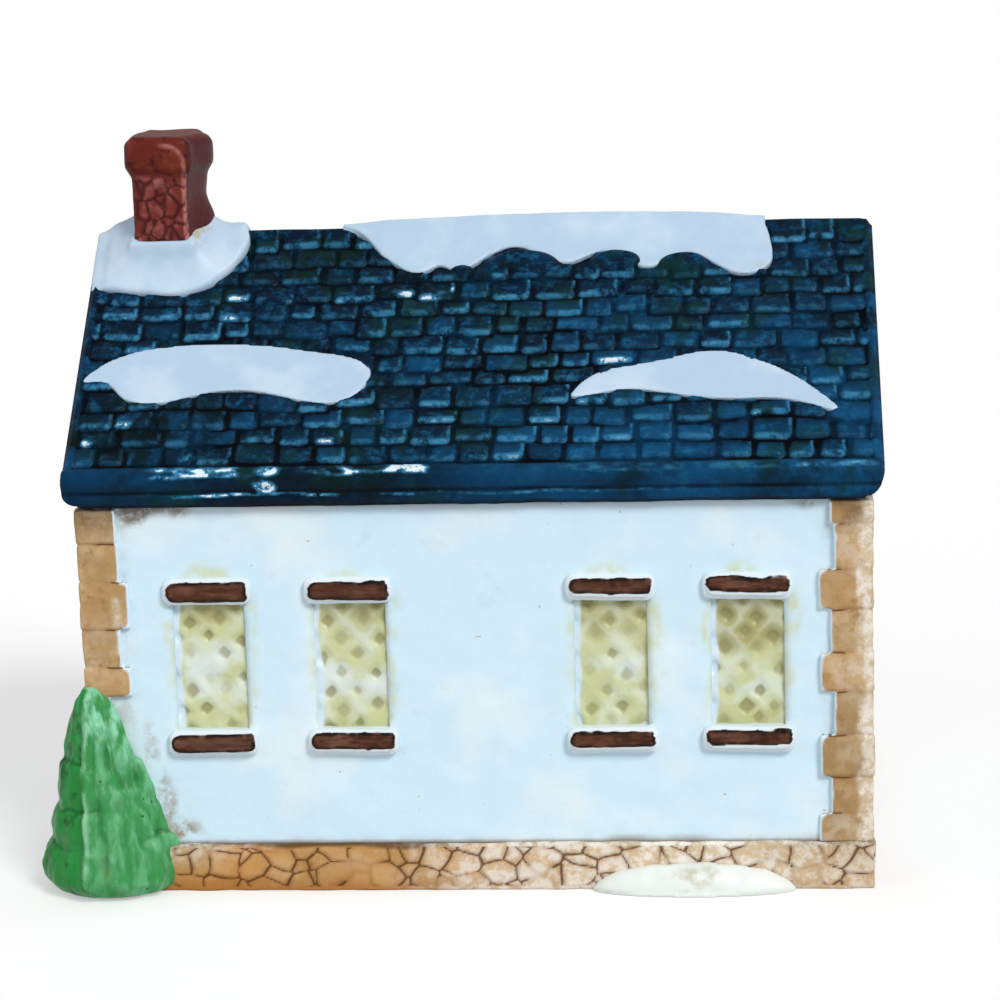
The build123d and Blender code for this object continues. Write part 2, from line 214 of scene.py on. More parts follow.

# brick red stain, dark in the joints and pinkish where the stones are rubbed; the sides are painted darker
# as shade, and the pale line up the front-right edge is partly a painted highlight
finishes["brick_red"] = makeFinish(
    "brick stained bisque", {"Roughness": 0.42, "IOR": 1.48, "Specular IOR Level": 0.16}, "#6E2A26", [
        ("#94504B", ((2.2, 4), 0.44, 0.70, 0.85)),
        ("#7A3A1E", ((5, 3), 0.56, 0.72, 0.6)),
        ("#601C12", "cap"),
        ("#8A4420", "cap", ((3.4, 4), 0.52, 0.68, 0.6)),
        ("#30080A", "cap", ((2.0, 4), 0.50, 0.68, 0.9)),
        # painted shade: the sides darker than the front
        ("#4C2022", "side"),
        ("#3F0C0B", ("relief", 0.48, 0.24, 0.7)),
        ("#420D0C", ("crack", 0.30, 0.95, 0.8)),
        # pinkish rubbed stones, and along the front-right edge a painted highlight
        ("#B0706A", "worn", ([((1.4, 5, 0.7), 0.40, 0.60)], -0.6, 0.9)),
    ], (0.8, 4), 0.08)

# runny green glaze: deep green in the hollows; the far side and the folds under the tiers are painted darker
# as shade, and the ridges on the near side and the seam are painted paler as highlight
runs = (((1.6, 1.6, 4.571), 4), 0.40, 0.64)
finishes["fir_green"] = makeFinish(
    "fir green glaze", {"Roughness": 0.34, "IOR": 1.48, "Specular IOR Level": 0.16}, "#3E9150", [
        ("#64AE79", runs),
        ("#8ED3AC", "crown", runs),
        ("#6A7F34", ((6, 3), 0.60, 0.74, 0.6)),
        # painted shade: the far side, beyond the seam, darker
        ("#1A8433", ("far", 0.0, 1.0, 0.85)),
        ("#0B4A1A", "far", ((3.0, 3), 0.54, 0.70, 0.8)),
        ("#0A4015", ("relief", 0.49, 0.26)),
        # painted shade in the folds under each tier
        ("#0F5A22", ("groove", 0.1, 0.9, 0.6)),
        # painted highlight on the ridges, on the near side only
        ("#A5DDBC", ("relief", 0.56, 0.80, 0.8), ("far", 1.0, 0.0)),
        # painted highlight along the seam ridge
        ("#8CCB9F", "seam", runs),
        ("#DDEBE0", "rubbed", runs),
        ("#0A3A14", ((1.3, 2), 0.72, 0.77, 0.8)),
    ], ((0.9, 0.9, 2.571), 4), 0.10)

# unglazed clay under the base: chalky and speckled
finishes["raw_base"] = makeFinish(
    "bare bisque clay", {"Roughness": 0.8, "IOR": 1.45}, "#DDD8CA", [
        ("#C9C1AE", ((7, 3), 0.45, 0.7)),
        ("#B3A78F", ((1.0, 3), 0.62, 0.72, 0.6)),
    ], (0.7, 4), 0.06)
print("materials ready")


# Clay helpers

def ramp(low, high, value):
    t = min(1.0, max(0.0, (value - low) / (high - low)))
    return t * t * (3 - 2 * t)


def between(value, start, full, fade, end):
    return ramp(start, full, value) * ramp(end, fade, value)


def lump(place, sizeMm, seed):
    # soft bumps from -1 to 1, about sizeMm apart, at a place in mm
    return noise.noise(place / sizeMm + Vector((seed * 7.3, seed * 3.1, seed * 5.7)))


def bumps(place, rows, seed):
    # each row is a height and a size in mm
    return sum(high * lump(place, size, seed + k) for k, (high, size) in enumerate(rows))


def blots(p, rows, seed):
    # soft round patches with a wandering edge: along, up, half width and half height in mm, strength
    best = 0.0
    for along, up, wide, tall, strength in rows:
        far = math.hypot((p.x - along) / wide, (p.y - up) / tall)
        best = max(best, strength * ramp(1.0, 0.35, far + 0.45 * lump(p, 3.5, seed)))
    return best


def boxMm(node):
    low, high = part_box(node)
    return low / mm, high / mm


def nodeCopy(*names):
    bm = bmesh.new()
    for name in names:
        bm.from_mesh(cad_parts[name].data)
    bmesh.ops.remove_doubles(bm, verts=bm.verts, dist=0.002 * mm)
    return bm


def relax(bm, rounds):
    for _ in range(rounds):
        bmesh.ops.smooth_vert(bm, verts=bm.verts, factor=0.5,
                              use_axis_x=True, use_axis_y=True, use_axis_z=True)


def addObject(name, data):
    made = bpy.data.objects.new(name, data)
    bpy.context.scene.collection.objects.link(made)
    return made


def addMesh(name, bm):
    mesh = bpy.data.meshes.new(name)
    bm.to_mesh(mesh)
    bm.free()
    return addObject(name, mesh)


def castClay(bm, look):
    # fuses what bm holds into one casting and rounds its edges
    blank = addMesh("clay", bm)
    mesh = blank.data
    fuse = blank.modifiers.new("fuse", "REMESH")
    fuse.mode = "VOXEL"
    fuse.voxel_size = look["voxel"] * mm
    fused = bpy.data.meshes.new_from_object(blank.evaluated_get(bpy.context.evaluated_depsgraph_get()))
    bpy.data.objects.remove(blank)
    bpy.data.meshes.remove(mesh)
    cast = bmesh.new()
    cast.from_mesh(fused)
    bpy.data.meshes.remove(fused)
    relax(cast, look["soften"])
    return cast


def sculpt(bm, push):
    # moves each point along its normal by push(place in mm, normal), in mm
    bm.normal_update()
    moves = [v.normal * (push(v.co / mm, v.normal) * mm) for v in bm.verts]
    for v, move in zip(bm.verts, moves):
        v.co += move


def markRelief(bm, rounds, depthMm):
    # relief is 0.5 on plain ground, more on edges and less in joints
    layer = bm.verts.layers.float.new("relief")
    bm.normal_update()
    worn = bm.copy()
    relax(worn, rounds)
    for v, w in zip(bm.verts, worn.verts):
        v[layer] = min(1.0, max(0.0, 0.5 + (v.co - w.co).dot(v.normal) / (depthMm * mm) * 0.5))
    worn.free()


def markPaint(bm, **amounts):
    # stores how much of each paint is on each point: a number, or a function of its place in mm and normal
    bm.normal_update()
    for name, amount in amounts.items():
        layer = bm.verts.layers.float.new(name)
        for v in bm.verts:
            v[layer] = amount(v.co / mm, v.normal) if callable(amount) else amount


def addBlock(bm, low, high, turn=Matrix.Identity(4)):
    low, high = Vector(low), Vector(high)
    place = Matrix.Translation((low + high) / 2 * mm) @ Matrix.Diagonal(((high - low) * mm).to_4d())
    made = bmesh.ops.create_cube(bm, size=1.0, matrix=turn @ place)["verts"]
    return list({e for v in made for e in v.link_edges})


def ease(bm, edges, radiusMm, segments=3):
    bmesh.ops.bevel(bm, geom=edges, offset=radiusMm * mm, affect="EDGES", segments=segments, profile=0.5,
                    material=-1)


def roundCorners(bm, low, high, upper, sizes):
    # rounds the two upper or lower corners that the box from low to high shows from the front
    middle, half = (low.x + high.x) / 2, (high.x - low.x) / 2
    edge, way = (high.z, 1) if upper else (low.z, -1)
    for v in bm.verts:
        p = v.co / mm
        wide, tall = sizes[p.x > middle]
        corner = Vector(((abs(p.x - middle) - half) / wide + 1, (p.z - edge) * way / tall + 1))
        if corner.x > 0 and corner.y > 0 and corner.length > 1:
            corner.normalize()
            v.co.x = (middle + math.copysign(half + (corner.x - 1) * wide, p.x - middle)) * mm
            v.co.z = (edge + (corner.y - 1) * tall * way) * mm


def closeSheet(bm, below):
    # runs the rim of an open sheet down to where below() says and shuts the underside
    rim = [e for e in bm.edges if e.is_boundary]
    for v in bmesh.ops.extrude_edge_only(bm, edges=rim)["geom"]:
        if isinstance(v, bmesh.types.BMVert):
            v.co = below(v)
    bmesh.ops.holes_fill(bm, edges=[e for e in bm.edges if e.is_boundary], sides=0)
    bmesh.ops.recalc_face_normals(bm, faces=bm.faces)


def finishPiece(bm, slot, *nodes, name=None):
    name = name or nodes[0].replace("_", "-")
    for v in bm.verts:
        v.co.z = max(v.co.z, 0.0)  # it stands flat on the table
    bm.normal_update()
    piece = addMesh(name, bm)
    mesh = piece.data
    mesh.polygons.foreach_set("use_smooth", [True] * len(mesh.polygons))
    mesh.materials.append(finishes[slot])
    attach(piece, "root")
    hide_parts(*nodes)
    print(name, len(mesh.polygons), "faces")


# Walls

wallLow, wallHigh = boxMm("wall_shell")
plinthTop = boxMm("stone_plinth")[1].z
eaveFoot = boxMm("eave_band_front")[0].z
panes = sorted(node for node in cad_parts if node.endswith("_pane"))
windows = [(node.removesuffix("_pane"), node.split("_")[0]) for node in panes]  # with the side each is on
sideOut = {"front": Vector((0, -1, 0)), "back": Vector((0, 1, 0)),
           "left": Vector((-1, 0, 0)), "right": Vector((1, 0, 0))}

wallLook = {
    "voxel": 0.70, "soften": 3, "bumps": [(0.18, 15), (0.13, 4.5), (0.05, 1.9)],
    "recess": (5.0, 9.0), "recessDeep": 2.5, "jamb": 1.3,
    "sprayReach": 1.7, "sprayRim": 0.8, "grimeReach": 1.2, "grimeFoot": 0.22, "grimeSide": 0.45,
    "footStain": 0.9, "eaveReach": 1.0, "eaveDripAndShade": 0.8,
    # brown smudges on the front: along, up, half width, half height in mm, strength
    "smudges": [(-47.2, 54.6, 3.2, 3.6, 1.0), (-43.0, 55.8, 8, 2.4, 0.8), (46.0, 55.6, 5, 2.2, 0.7)],
    # pale brown wash beside the tree, in the same terms
    "washes": [(-46.2, 20, 1.4, 6, 0.5), (-44.4, 13.5, 1.8, 5, 0.8), (-41.6, 8.8, 3.4, 2.4, 0.9)],
    # yellow spray round each window: along, up from its middle, half width, half height in mm
    "sprays": [(-0.4, 12.6, 3.4, 1.8), (6.0, 6.5, 1.2, 3.4), (-5.6, 5.0, 0.8, 2.8), (5.6, -3.0, 0.7, 3.6)],
}


def wallPlace(side, node):
    # where the node sits on its wall: x runs along the wall, y up and z out of the house
    low, high = boxMm(node)
    seat = (low + high) / 2
    out = sideOut[side]
    for i in range(3):
        if out[i]:
            seat[i] = wallHigh[i] if out[i] > 0 else wallLow[i]
    up = Vector((0, 0, 1))
    return Matrix.Translation(seat * mm) @ Matrix((up.cross(out), up, out)).transposed().to_4x4()


def makeWalls(look):
    bm = castClay(nodeCopy("wall_shell"), look)
    sculpt(bm, lambda p, n: bumps(p, look["bumps"], 1))
    views = [(sideOut[side], wallPlace(side, name + "_pane").inverted()) for name, side in windows]
    halfWide, halfTall = look["recess"]
    for _, view in views:
        back = view.inverted()
        for v in bm.verts:
            q = view @ v.co / mm
            inX, inY = halfWide - abs(q.x), halfTall - abs(q.y)
            if abs(q.z) > look["recessDeep"] or min(inX, inY) < -look["voxel"]:
                continue
            # trues the rim and the jambs of the recess
            near = look["voxel"] * (0.75 if q.z > -0.15 else 1.0)
            if -near < inX < (look["jamb"] if inX < inY else near):
                q.x = math.copysign(halfWide, q.x)
            if -near < inY < (look["jamb"] if inY <= inX else near):
                q.y = math.copysign(halfTall, q.y)
            v.co = back @ (q * mm)

    def windowSprays(number):
        rows = []
        for k, (along, up, wide, tall) in enumerate(look["sprays"]):
            size = 1.3 + 0.5 * noise.noise(Vector((number * 3.7, k * 5.1, 0.5)))
            rows.append((along, up, wide * size, tall * size, 1))
        return rows

    sprays = [windowSprays(number) for number in range(len(views))]

    def glow(p, n):
        best = 0.0
        for number, (out, view) in enumerate(views):
            if n.dot(out) < 0.3:
                continue
            q = view @ (p * mm) / mm
            if abs(q.x) > 12 or abs(q.y) > 20 or abs(q.z) > 3:
                continue
            reach = look["sprayReach"] * (0.8 + lump(p, 4, 4)) + 0.2
            rim = 1 - ramp(0.1, reach, max(abs(q.x) - halfWide, abs(q.y) - halfTall))
            best = max(best, blots(q, sprays[number], number), look["sprayRim"] * rim)
        return best

    def marked(p, n, kind):
        return blots(Vector((p.x if n.y < 0 else -p.x, p.z, 0)), look[kind], 7) if abs(n.y) > 0.5 else 0.0

    def grime(p, n):
        low = 1 - ramp(0.1, look["grimeReach"], p.z - plinthTop)
        axis = 0 if abs(n.y) > 0.5 else 1
        side = 1 - ramp(5.0, 7.2, min(p[axis] - wallLow[axis], wallHigh[axis] - p[axis]))
        return max(look["grimeFoot"] * low, look["grimeSide"] * side * (0.4 + 0.6 * lump(p, 9, 5)),
                   marked(p, n, "washes") * (n.y < 0))

    def foot(p, n):
        # brown stain that crept up from the plinth's ledge
        reach = 0.35 + 0.3 * ramp(-5, 25, p.x) + 0.35 * lump(p, 7, 8)
        stain = 1 - ramp(0.3 * reach, max(reach, 0.05), p.z - plinthTop)
        return look["footStain"] * stain * (p.z > plinthTop - 1)

    # a darker blue band right under the eave band: navy glaze run-off and painted shade from the overhang
    def drip(p, n):
        start = eaveFoot - look["eaveReach"] * (1 + lump(p, 6, 6))
        return look["eaveDripAndShade"] * ramp(start, eaveFoot + 0.4, p.z) * (abs(n.y) > 0.5)

    markPaint(bm, glow=glow, grime=grime, smudge=lambda p, n: marked(p, n, "smudges"), foot=foot, drip=drip)
    finishPiece(bm, "white_wall", "wall_shell", name="walls")


makeWalls(wallLook)


# Plinth and corner stones

plinthLook = {
    "voxel": 0.26, "soften": 2, "stoneWide": 3.7, "stoneTall": 3.1, "crack": 0.10, "fade": 0.28,
    "depth": 0.28, "swell": 0.22, "relief": (6, 0.6),
    "heapWide": 15, "wiped": 0.72, "topWorn": 0.45, "damp": 0.6, "stain": 0.9,
}


def carveStones(bm, look, stony, seed):
    # swells the faces and cuts cracks between stones where stony(place, normal) says so
    layer = bm.verts.layers.float.new("crack")
    bm.normal_update()
    moves = []
    for v in bm.verts:
        p, n = v.co / mm, v.normal
        cut = 0.0
        if stony(p, n):
            along = p.x if abs(n.y) > abs(n.x) else p.y + 200  # the ends get other stones than the fronts
            spot = Vector((along / look["stoneWide"], p.z / look["stoneTall"], seed))
            far, middles = noise.voronoi(spot + 0.3 * Vector((lump(p, 4, seed), lump(p, 4, seed + 1), 0)))
            across = (middles[1] - middles[0]).xy.length
            gap = (far[1] ** 2 - far[0] ** 2) / (2 * max(across, 0.05))  # to the line between two stones
            fade = ramp(-0.5, -0.05, lump(p, 5, seed + 2))
            cut = fade * (1 - ramp(0.0, look["crack"], gap))
            v[layer] = (0.6 + 0.4 * fade) * max(0.0, 1 - gap / look["fade"])
        moves.append(n * ((look["swell"] * lump(p, 4, seed) - look["depth"] * cut) * mm))
    for v, move in zip(bm.verts, moves):
        v.co += move


def makePlinth(look):
    bm = castClay(nodeCopy("stone_plinth"), look)
    carveStones(bm, look, lambda p, n: abs(n.z) < 0.6 and p.z > 0.5, 1.5)
    markRelief(bm, *look["relief"])
    low, high = boxMm("snow_ground_drift")
    heapMiddle = (low.x + high.x) / 2 - 1

    def pale(p, n):
        top = ramp(2.6, 6.2, p.z + 1.6 * lump(p, 6, 16)) * ramp(-0.3, 0.5, lump(p, 11, 17))
        if p.y >= 0:
            return look["topWorn"] * top
        heap = math.exp(-((p.x - heapMiddle) / look["heapWide"]) ** 2) * ramp(1.5, 4.5, p.z)
        wiped = look["wiped"] * ramp(-16, 4, p.x) * (1 - 0.3 * ramp(40, 47, p.x))
        return max(heap, wiped, look["topWorn"] * top)

    def warm(p, n):
        return (0.4 + 0.5 * ramp(-0.3, 0.3, lump(p, 14, 14))) * (1 - 0.6 * ramp(20, 45, p.x))

    def damp(p, n):
        return look["damp"] * (1 - ramp(0.3, 2.6, p.z + 1.6 * lump(p, 9, 15))) * (p.x < 20)

    def stain(p, n):
        return look["stain"] * ramp(plinthTop - 0.7, plinthTop - 0.1, p.z + 0.5 * lump(p, 5, 13))

    markPaint(bm, pale=pale, warm=warm, damp=damp, stain=stain)
    finishPiece(bm, "tan_stone", "stone_plinth", name="stonePlinth")


makePlinth(plinthLook)

quoinLook = {
    "voxel": 0.22, "soften": 2, "proud": 0.85, "bed": 0.45, "sink": 0.5, "joint": 0.22, "round": 0.22,
    "coreRound": 0.15, "shortLeg": 4.8, "legSpread": 0.35, "treeTop": 29.0, "behindTree": 2.6,
    "bumps": [(0.16, 3.5), (0.07, 1.3)], "relief": (8, 0.45), "crackReach": 0.8, "whiteRound": 1.2,
    "paleEdge": 0.8, "palePatch": 0.6, "paleEnd": 0.9, "faded": {1: 0.26, -1: 0.12},
    # heights of the joints and the long leg, mm
    "right": ([6.7, 10.9, 16.1, 22.2, 28.3, 33.9, 40.0, 45.7, 52.0, 55.4], 6.4),
    "left": ([6.7, 11.6, 17.3, 22.6, 28.5, 32.8, 38.2, 45.0, 50.4, 55.4], 5.8),
}


def makeQuoins(look, node, signX, signY, pattern, seed):
    # the corner's own axes: x and y run back along the two walls from the outer edge
    corner = Vector((wallHigh.x if signX > 0 else wallLow.x, wallHigh.y if signY > 0 else wallLow.y, 0))
    turn = Matrix.Translation(corner * mm) @ Matrix.Diagonal((-signX, -signY, 1, 1))
    byTree = node == "quoins_front_left"
    rng = random.Random(seed)
    rows, longLeg = look[pattern]
    bm = bmesh.new()

    def addLeg(out, legX, legY, low, high, radius):
        ease(bm, addBlock(bm, (-out, -out, low), (legX, legY, high), turn), radius)

    sink = look["sink"]
    core = look["shortLeg"] - 0.4
    addLeg(look["bed"], core, sink, look["treeTop"] if byTree else rows[0], rows[-1], look["coreRound"])
    addLeg(look["bed"], sink, core, rows[0], rows[-1], look["coreRound"])
    stones = []
    for i, (low, high) in enumerate(zip(rows, rows[1:])):
        legs = [longLeg, look["shortLeg"]]
        legX, legY = legs if i % 2 == 0 and i < len(rows) - 2 else legs[::-1]
        legX += rng.uniform(-1, 1) * look["legSpread"]
        if byTree and high < look["treeTop"]:
            legX = look["behindTree"]
        legY += rng.uniform(-1, 1) * look["legSpread"]
        out = look["proud"] + rng.uniform(-0.1, 0.1)
        stones.append((low, high, (legX, legY)))
        low, high = low + look["joint"] / 2, high - look["joint"] / 2
        addLeg(out, legX, sink, low, high, look["round"])
        addLeg(out, sink, legY, low, high, look["round"])
    tints = [rng.uniform(0.0, 0.3) for _ in rows]
    bmesh.ops.recalc_face_normals(bm, faces=bm.faces)
    bm = castClay(bm, look)
    sculpt(bm, lambda p, n: bumps(p, look["bumps"], seed))
    markRelief(bm, *look["relief"])

    def stoneRow(row):
        return max(0, min(len(stones) - 1, row))

    def inward(p, pick=max):
        return pick(abs(p.x - corner.x), abs(p.y - corner.y))

    def crack(p, n):
        near = min(abs(p.z - row + 0.25 * lump(p, 3, seed + 3)) for row in rows[1:-1])
        fade = 0.35 + 0.65 * ramp(1.0, 3.5, inward(p) + 1.5 * lump(p, 5, seed + 4))
        return fade * max(0.0, 1 - near / look["crackReach"])

    def pale(p, n):
        edge = 1 - ramp(0.3, 1.3, inward(p, min) + 0.6 * lump(p, 2.2, seed + 5))
        edge *= 1 - ramp(0.9, 1.9, inward(p) + 0.8 * lump(p, 3, seed + 7))
        patch = ramp(0.30, 0.55, lump(p, 6, seed + 2)) * ramp(3.0, 5.0, inward(p))
        end = ramp(0.3, 0.7, max(-n.x * signX, -n.y * signY))
        faded = look["faded"][signX] * ramp(-0.1, 0.5, lump(p, 9, seed + 8))
        edge *= signX > 0 or signY > 0
        return max(look["paleEdge"] * edge, look["palePatch"] * patch, look["paleEnd"] * end, faded)

    def stain(p, n):
        return max(0.7 * ramp(49.5, 56.5, p.z + 3 * lump(p, 3, seed + 6)), 0.2 * ramp(34, 18, p.z))

    def white(p, n):
        # wall paint that ran over the ends of the stones and round their free corners
        if max(-n.x * signX, -n.y * signY) > 0.3:
            return 1.0
        row = stoneRow(bisect.bisect(rows, p.z) - 1)
        axis = 0 if abs(n.y) > abs(n.x) else 1
        low, high, legs = stones[row]
        under, over = (stones[stoneRow(row + k)][2][axis] < legs[axis] - 0.3 for k in (-1, 1))
        r = look["whiteRound"]
        reach = legs[axis] - abs(p[axis] - corner[axis])
        inset = math.hypot(max(r - reach, 0), max(r - p.z + low, 0) * under + max(r - high + p.z, 0) * over)
        return ramp(-0.4, 0.05, inset - r + 0.4 * lump(p, 2.2, seed + 9)) * (reach < r)

    markPaint(bm, crack=crack, pale=pale, warm=lambda p, n: tints[stoneRow(bisect.bisect(rows, p.z) - 1)],
              white=white, stain=stain)
    finishPiece(bm, "tan_stone", node)


makeQuoins(quoinLook, "quoins_front_left", -1, -1, "left", 21)
makeQuoins(quoinLook, "quoins_front_right", 1, -1, "right", 22)
makeQuoins(quoinLook, "quoins_back_left", -1, 1, "right", 23)
makeQuoins(quoinLook, "quoins_back_right", 1, 1, "left", 24)


# Windows and door

paneLook = {
    "grid": 0.2, "overlap": 0.5, "across": 4.6, "up": 2.5, "halfWide": 1.35, "halfTall": 1.5, "power": 1.35,
    "sunk": 0.45, "floor": 0.65, "depth": 0.6, "jitter": 0.6, "lattice": 0.14, "ripple": 0.08,
    # how far in the brush started at most, mm, and how far down the wash came, also for each front window
    "missed": 0.6, "missedFront": 1.2, "wash": 0.1, "washFront": [0.0, 0.1, 0.3, 0.6],
}


def makePane(look, name, side, seed):
    low, high = boxMm(name + "_pane")
    tall = high.z - low.z
    wide = max(high.x - low.x, high.y - low.y)
    rng = random.Random(seed)
    slide = rng.uniform(0, 1)
    front = side == "front"
    missed = rng.uniform(0.2, look["missedFront" if front else "missed"])
    tint = look["washFront"][int(name[-1]) - 1] if front else look["wash"]
    dimples = []
    rows = int(tall / look["up"]) + 1
    for j in range(rows):
        for i in range(-2, 3):
            place = Vector(((i + slide + j % 2 / 2) * look["across"], (j + 0.5 - rows / 2) * look["up"], 0))
            place += Vector((rng.uniform(-1, 1), rng.uniform(-1, 1), 0)) * look["jitter"]
            dimples.append((place, rng.uniform(0.65, 1.15), rng.uniform(0.35, 1.0)))
    bm = bmesh.new()
    shape = Matrix.Diagonal(((wide + look["overlap"]) * mm, (tall + look["overlap"]) * mm, 1, 1))
    bmesh.ops.create_grid(bm, x_segments=round(wide / look["grid"]), y_segments=round(tall / look["grid"]),
                          size=0.5, matrix=shape)
    marks = {key: bm.verts.layers.float.new(key) for key in ("relief", "wash", "bare", "missed")}
    power = look["power"]  # 1 makes the dimples diamonds, 2 ovals
    for v in bm.verts:
        p = v.co / mm
        q = p + 0.3 * Vector((lump(p, 2, seed), lump(p, 2, seed + 1), 0))
        sunk, gap = 0.0, 9.0
        for place, size, deep in dimples:
            across = abs(q.x - place.x) / look["halfWide"]
            up = abs(q.y - place.y) / look["halfTall"]
            far = (across ** power + up ** power) ** (1 / power) / size
            gap = min(gap, far)
            sunk = max(sunk, deep * (1 - ramp(0.35, 1.05, far)))
        lattice = ramp(1.0, 1.6, gap)
        top = p.y / (tall / 2) - 0.55 + tint + 0.3 * lump(p, 4, seed + 3)
        foot = -p.y / (tall / 2) - 0.72 + 0.25 * lump(p, 4, seed + 7)
        # the right rim gets more wash, standing partly for the painted shadow of the right jamb
        rightRim = (p.x / (wide / 2) - 0.82) * 1.5
        v[marks["relief"]] = 1 - sunk
        v[marks["wash"]] = (0.85 - 0.4 * lattice) * ramp(0.0, 0.5, max(top, foot, rightRim))
        v[marks["bare"]] = max(1 - ramp(-0.55, 0.0, max(top, foot)), 0.4 * lattice)
        edge = missed * (1 + 0.9 * lump(p, 5, seed + 6)) - wide / 2
        v[marks["missed"]] = 1 - ramp(-0.15, 0.25, p.x - edge)
        out = look["ripple"] * lump(p, 2.5, seed + 4) + look["lattice"] * lattice
        v.co.z = (out - look["sunk"] * sunk - look["floor"]) * mm
    back = look["floor"] + look["sunk"] + look["depth"]
    closeSheet(bm, lambda v: Vector((v.co.x, v.co.y, -back * mm)))
    bm.transform(wallPlace(side, name + "_pane"))
    finishPiece(bm, "window_cream", name + "_pane")


barLook = {
    "voxel": 0.19, "soften": 3, "sink": 0.5, "pad": 0.72, "padRound": 1.3, "barRound": 1.1, "rim": 0.35,
    "margin": 0.55, "tilt": 0.02, "bumps": [(0.10, 3), (0.04, 1.1)],
    # how far up the brown stroke sits, mm, and its share of the bar's height, also for each front window
    "stroke": (0.15, 0.88),
    "lintel": [(0.0, 1.0), (0.0, 0.95), (0.3, 0.78), (0.4, 0.72)],
    "sill": [(0.1, 0.95), (0.35, 0.85), (0.3, 0.82), (0.45, 0.78)],
}


def makeBar(look, node, side, seed):
    # a white pad with a rounded bar on it, brown where the brush went
    low, high = boxMm(node)
    proud = abs((high - low).dot(sideOut[side]))
    halfTall = (high.z - low.z) / 2
    halfLong = max(high.x - low.x, high.y - low.y) / 2
    rng = random.Random(seed)
    lean = Matrix.Rotation(rng.uniform(-1, 1) * look["tilt"], 4, "Z")
    thin = rng.uniform(0.4, 1.0)
    dry = rng.uniform(0.0, 0.3)
    m = look["margin"]
    bm = bmesh.new()
    for inset, under, top, outline in ((0, -look["sink"], proud * look["pad"], look["padRound"]),
                                       (m, 0, proud + 0.1, look["barRound"])):
        x, y = halfLong - inset, halfTall - inset
        edges = addBlock(bm, (-x, -y, under), (x, y, top))
        ease(bm, [e for e in edges if abs((e.verts[0].co - e.verts[1].co).z) > 0.1 * mm], outline, 5)
        upper = [e for e in bm.edges if all(abs(v.co.z - top * mm) < 0.001 * mm for v in e.verts)]
        ease(bm, upper, look["rim"])
    bmesh.ops.recalc_face_normals(bm, faces=bm.faces)
    bm = castClay(bm, look)
    sculpt(bm, lambda p, n: bumps(p, look["bumps"], seed))
    number, kind = node.split("_")[-2:]
    lift, share = look[kind][int(number) - 1] if side == "front" else look["stroke"]

    def inside(p):
        # distance in from the edge of the stroke, which starts round and ends squarer
        tall = (halfTall - m + 0.05) * share
        end = tall if p.x < 0 else tall * 0.45
        qx = max(abs(p.x) - (halfLong - m - end), 0)
        qy = max(abs(p.y - lift) - (tall - end), 0)
        hairs = dry * lump(Vector((p.x * 0.25, p.y * 2.5, 0)), 1.0, seed + 4)
        return end - math.hypot(qx, qy) + 0.17 * lump(p, 1.5, seed + 2) + hairs

    def rim(p, n):
        return (1 - ramp(0.12, 0.75, inside(p))) * (inside(p) > 0) * (p.z > 0.5 * proud)

    markPaint(bm, paint=lambda p, n: 0.43 + 0.35 * inside(p) if p.z > proud * 0.5 else 0.0, rim=rim,
              thin=lambda p, n: thin * (0.7 + 0.3 * lump(p, 2.5, seed + 3)))
    bm.transform(wallPlace(side, node) @ lean)
    finishPiece(bm, "dark_brown_wood_paint", node)


for number, (name, side) in enumerate(windows):
    makePane(paneLook, name, side, 40 + number)
    makeBar(barLook, name + "_lintel", side, 60 + number)
    makeBar(barLook, name + "_sill", side, 80 + number)
makeBar(barLook, "door_lintel", "back", 95)

doorLook = {"voxel": 0.22, "soften": 2, "grainDeep": 0.10, "grainWide": 1.2, "thin": 0.6}


def makeDoor(look):
    bm = castClay(nodeCopy("door_panel"), look)
    sculpt(bm, lambda p, n: look["grainDeep"] * lump(Vector((p.x, p.y, p.z * 0.15)), look["grainWide"], 97))
    markPaint(bm, paint=lambda p, n: 0.75 + 0.2 * lump(p, 4, 98), thin=look["thin"])
    finishPiece(bm, "dark_brown_wood_paint", "door_panel")


makeDoor(doorLook)

stepLook = {"voxel": 0.3, "soften": 3, "bumps": [(0.12, 3.5)], "relief": (8, 0.5)}


def makeStep(look):
    bm = castClay(nodeCopy("door_step"), look)
    sculpt(bm, lambda p, n: bumps(p, look["bumps"], 99) if p.z > 0.4 else 0.0)
    markRelief(bm, *look["relief"])
    finishPiece(bm, "tan_stone", "door_step")


makeStep(stepLook)


# Roof

roofLow, roofHigh = boxMm("roof_shell")
roofPitch = math.radians(41)
pitchCos, pitchSin = math.cos(roofPitch), math.sin(roofPitch)
ridge = roofHigh.z
slopeLength = roofHigh.y / pitchCos


def slopeOut(back):
    return Vector((0, pitchSin if back else -pitchSin, pitchCos))


def onSlope(x, down, out, back):
    # a point in mm, given along the ridge, down the slope and out of it; at the ridge it rises straight up
    flat = ramp(0.0, 1.4, down)
    y = down * pitchCos + out * pitchSin * flat
    z = ridge - down * pitchSin + out * (pitchCos * flat + (1 - flat) / pitchCos)
    return Vector((x, y if back else -y, z))


snowLook = {
    "voxel": 0.26, "soften": 3, "bumps": [(0.10, 7), (0.05, 2.2)], "lift": 0.7, "sink": 0.65, "hide": 0.5,
    # the cap on the ridge
    "taper": 9.0, "thin": 0.45, "arch": 0.6, "point": 6.0, "ridgeSink": 0.95,
    # the heap on the ground
    "heapBumps": [(0.35, 5), (0.15, 2)], "heapClean": 0.9,
    # yellowed stains: how strong along the foot of a pad, on the heap, and round the chimney
    "stainFoot": 0.5, "stainHeap": (2.4, 6, 2.2, 0.7), "stainChimney": (-40.2, 89.6, 1.6, 2.2, 0.8),
}

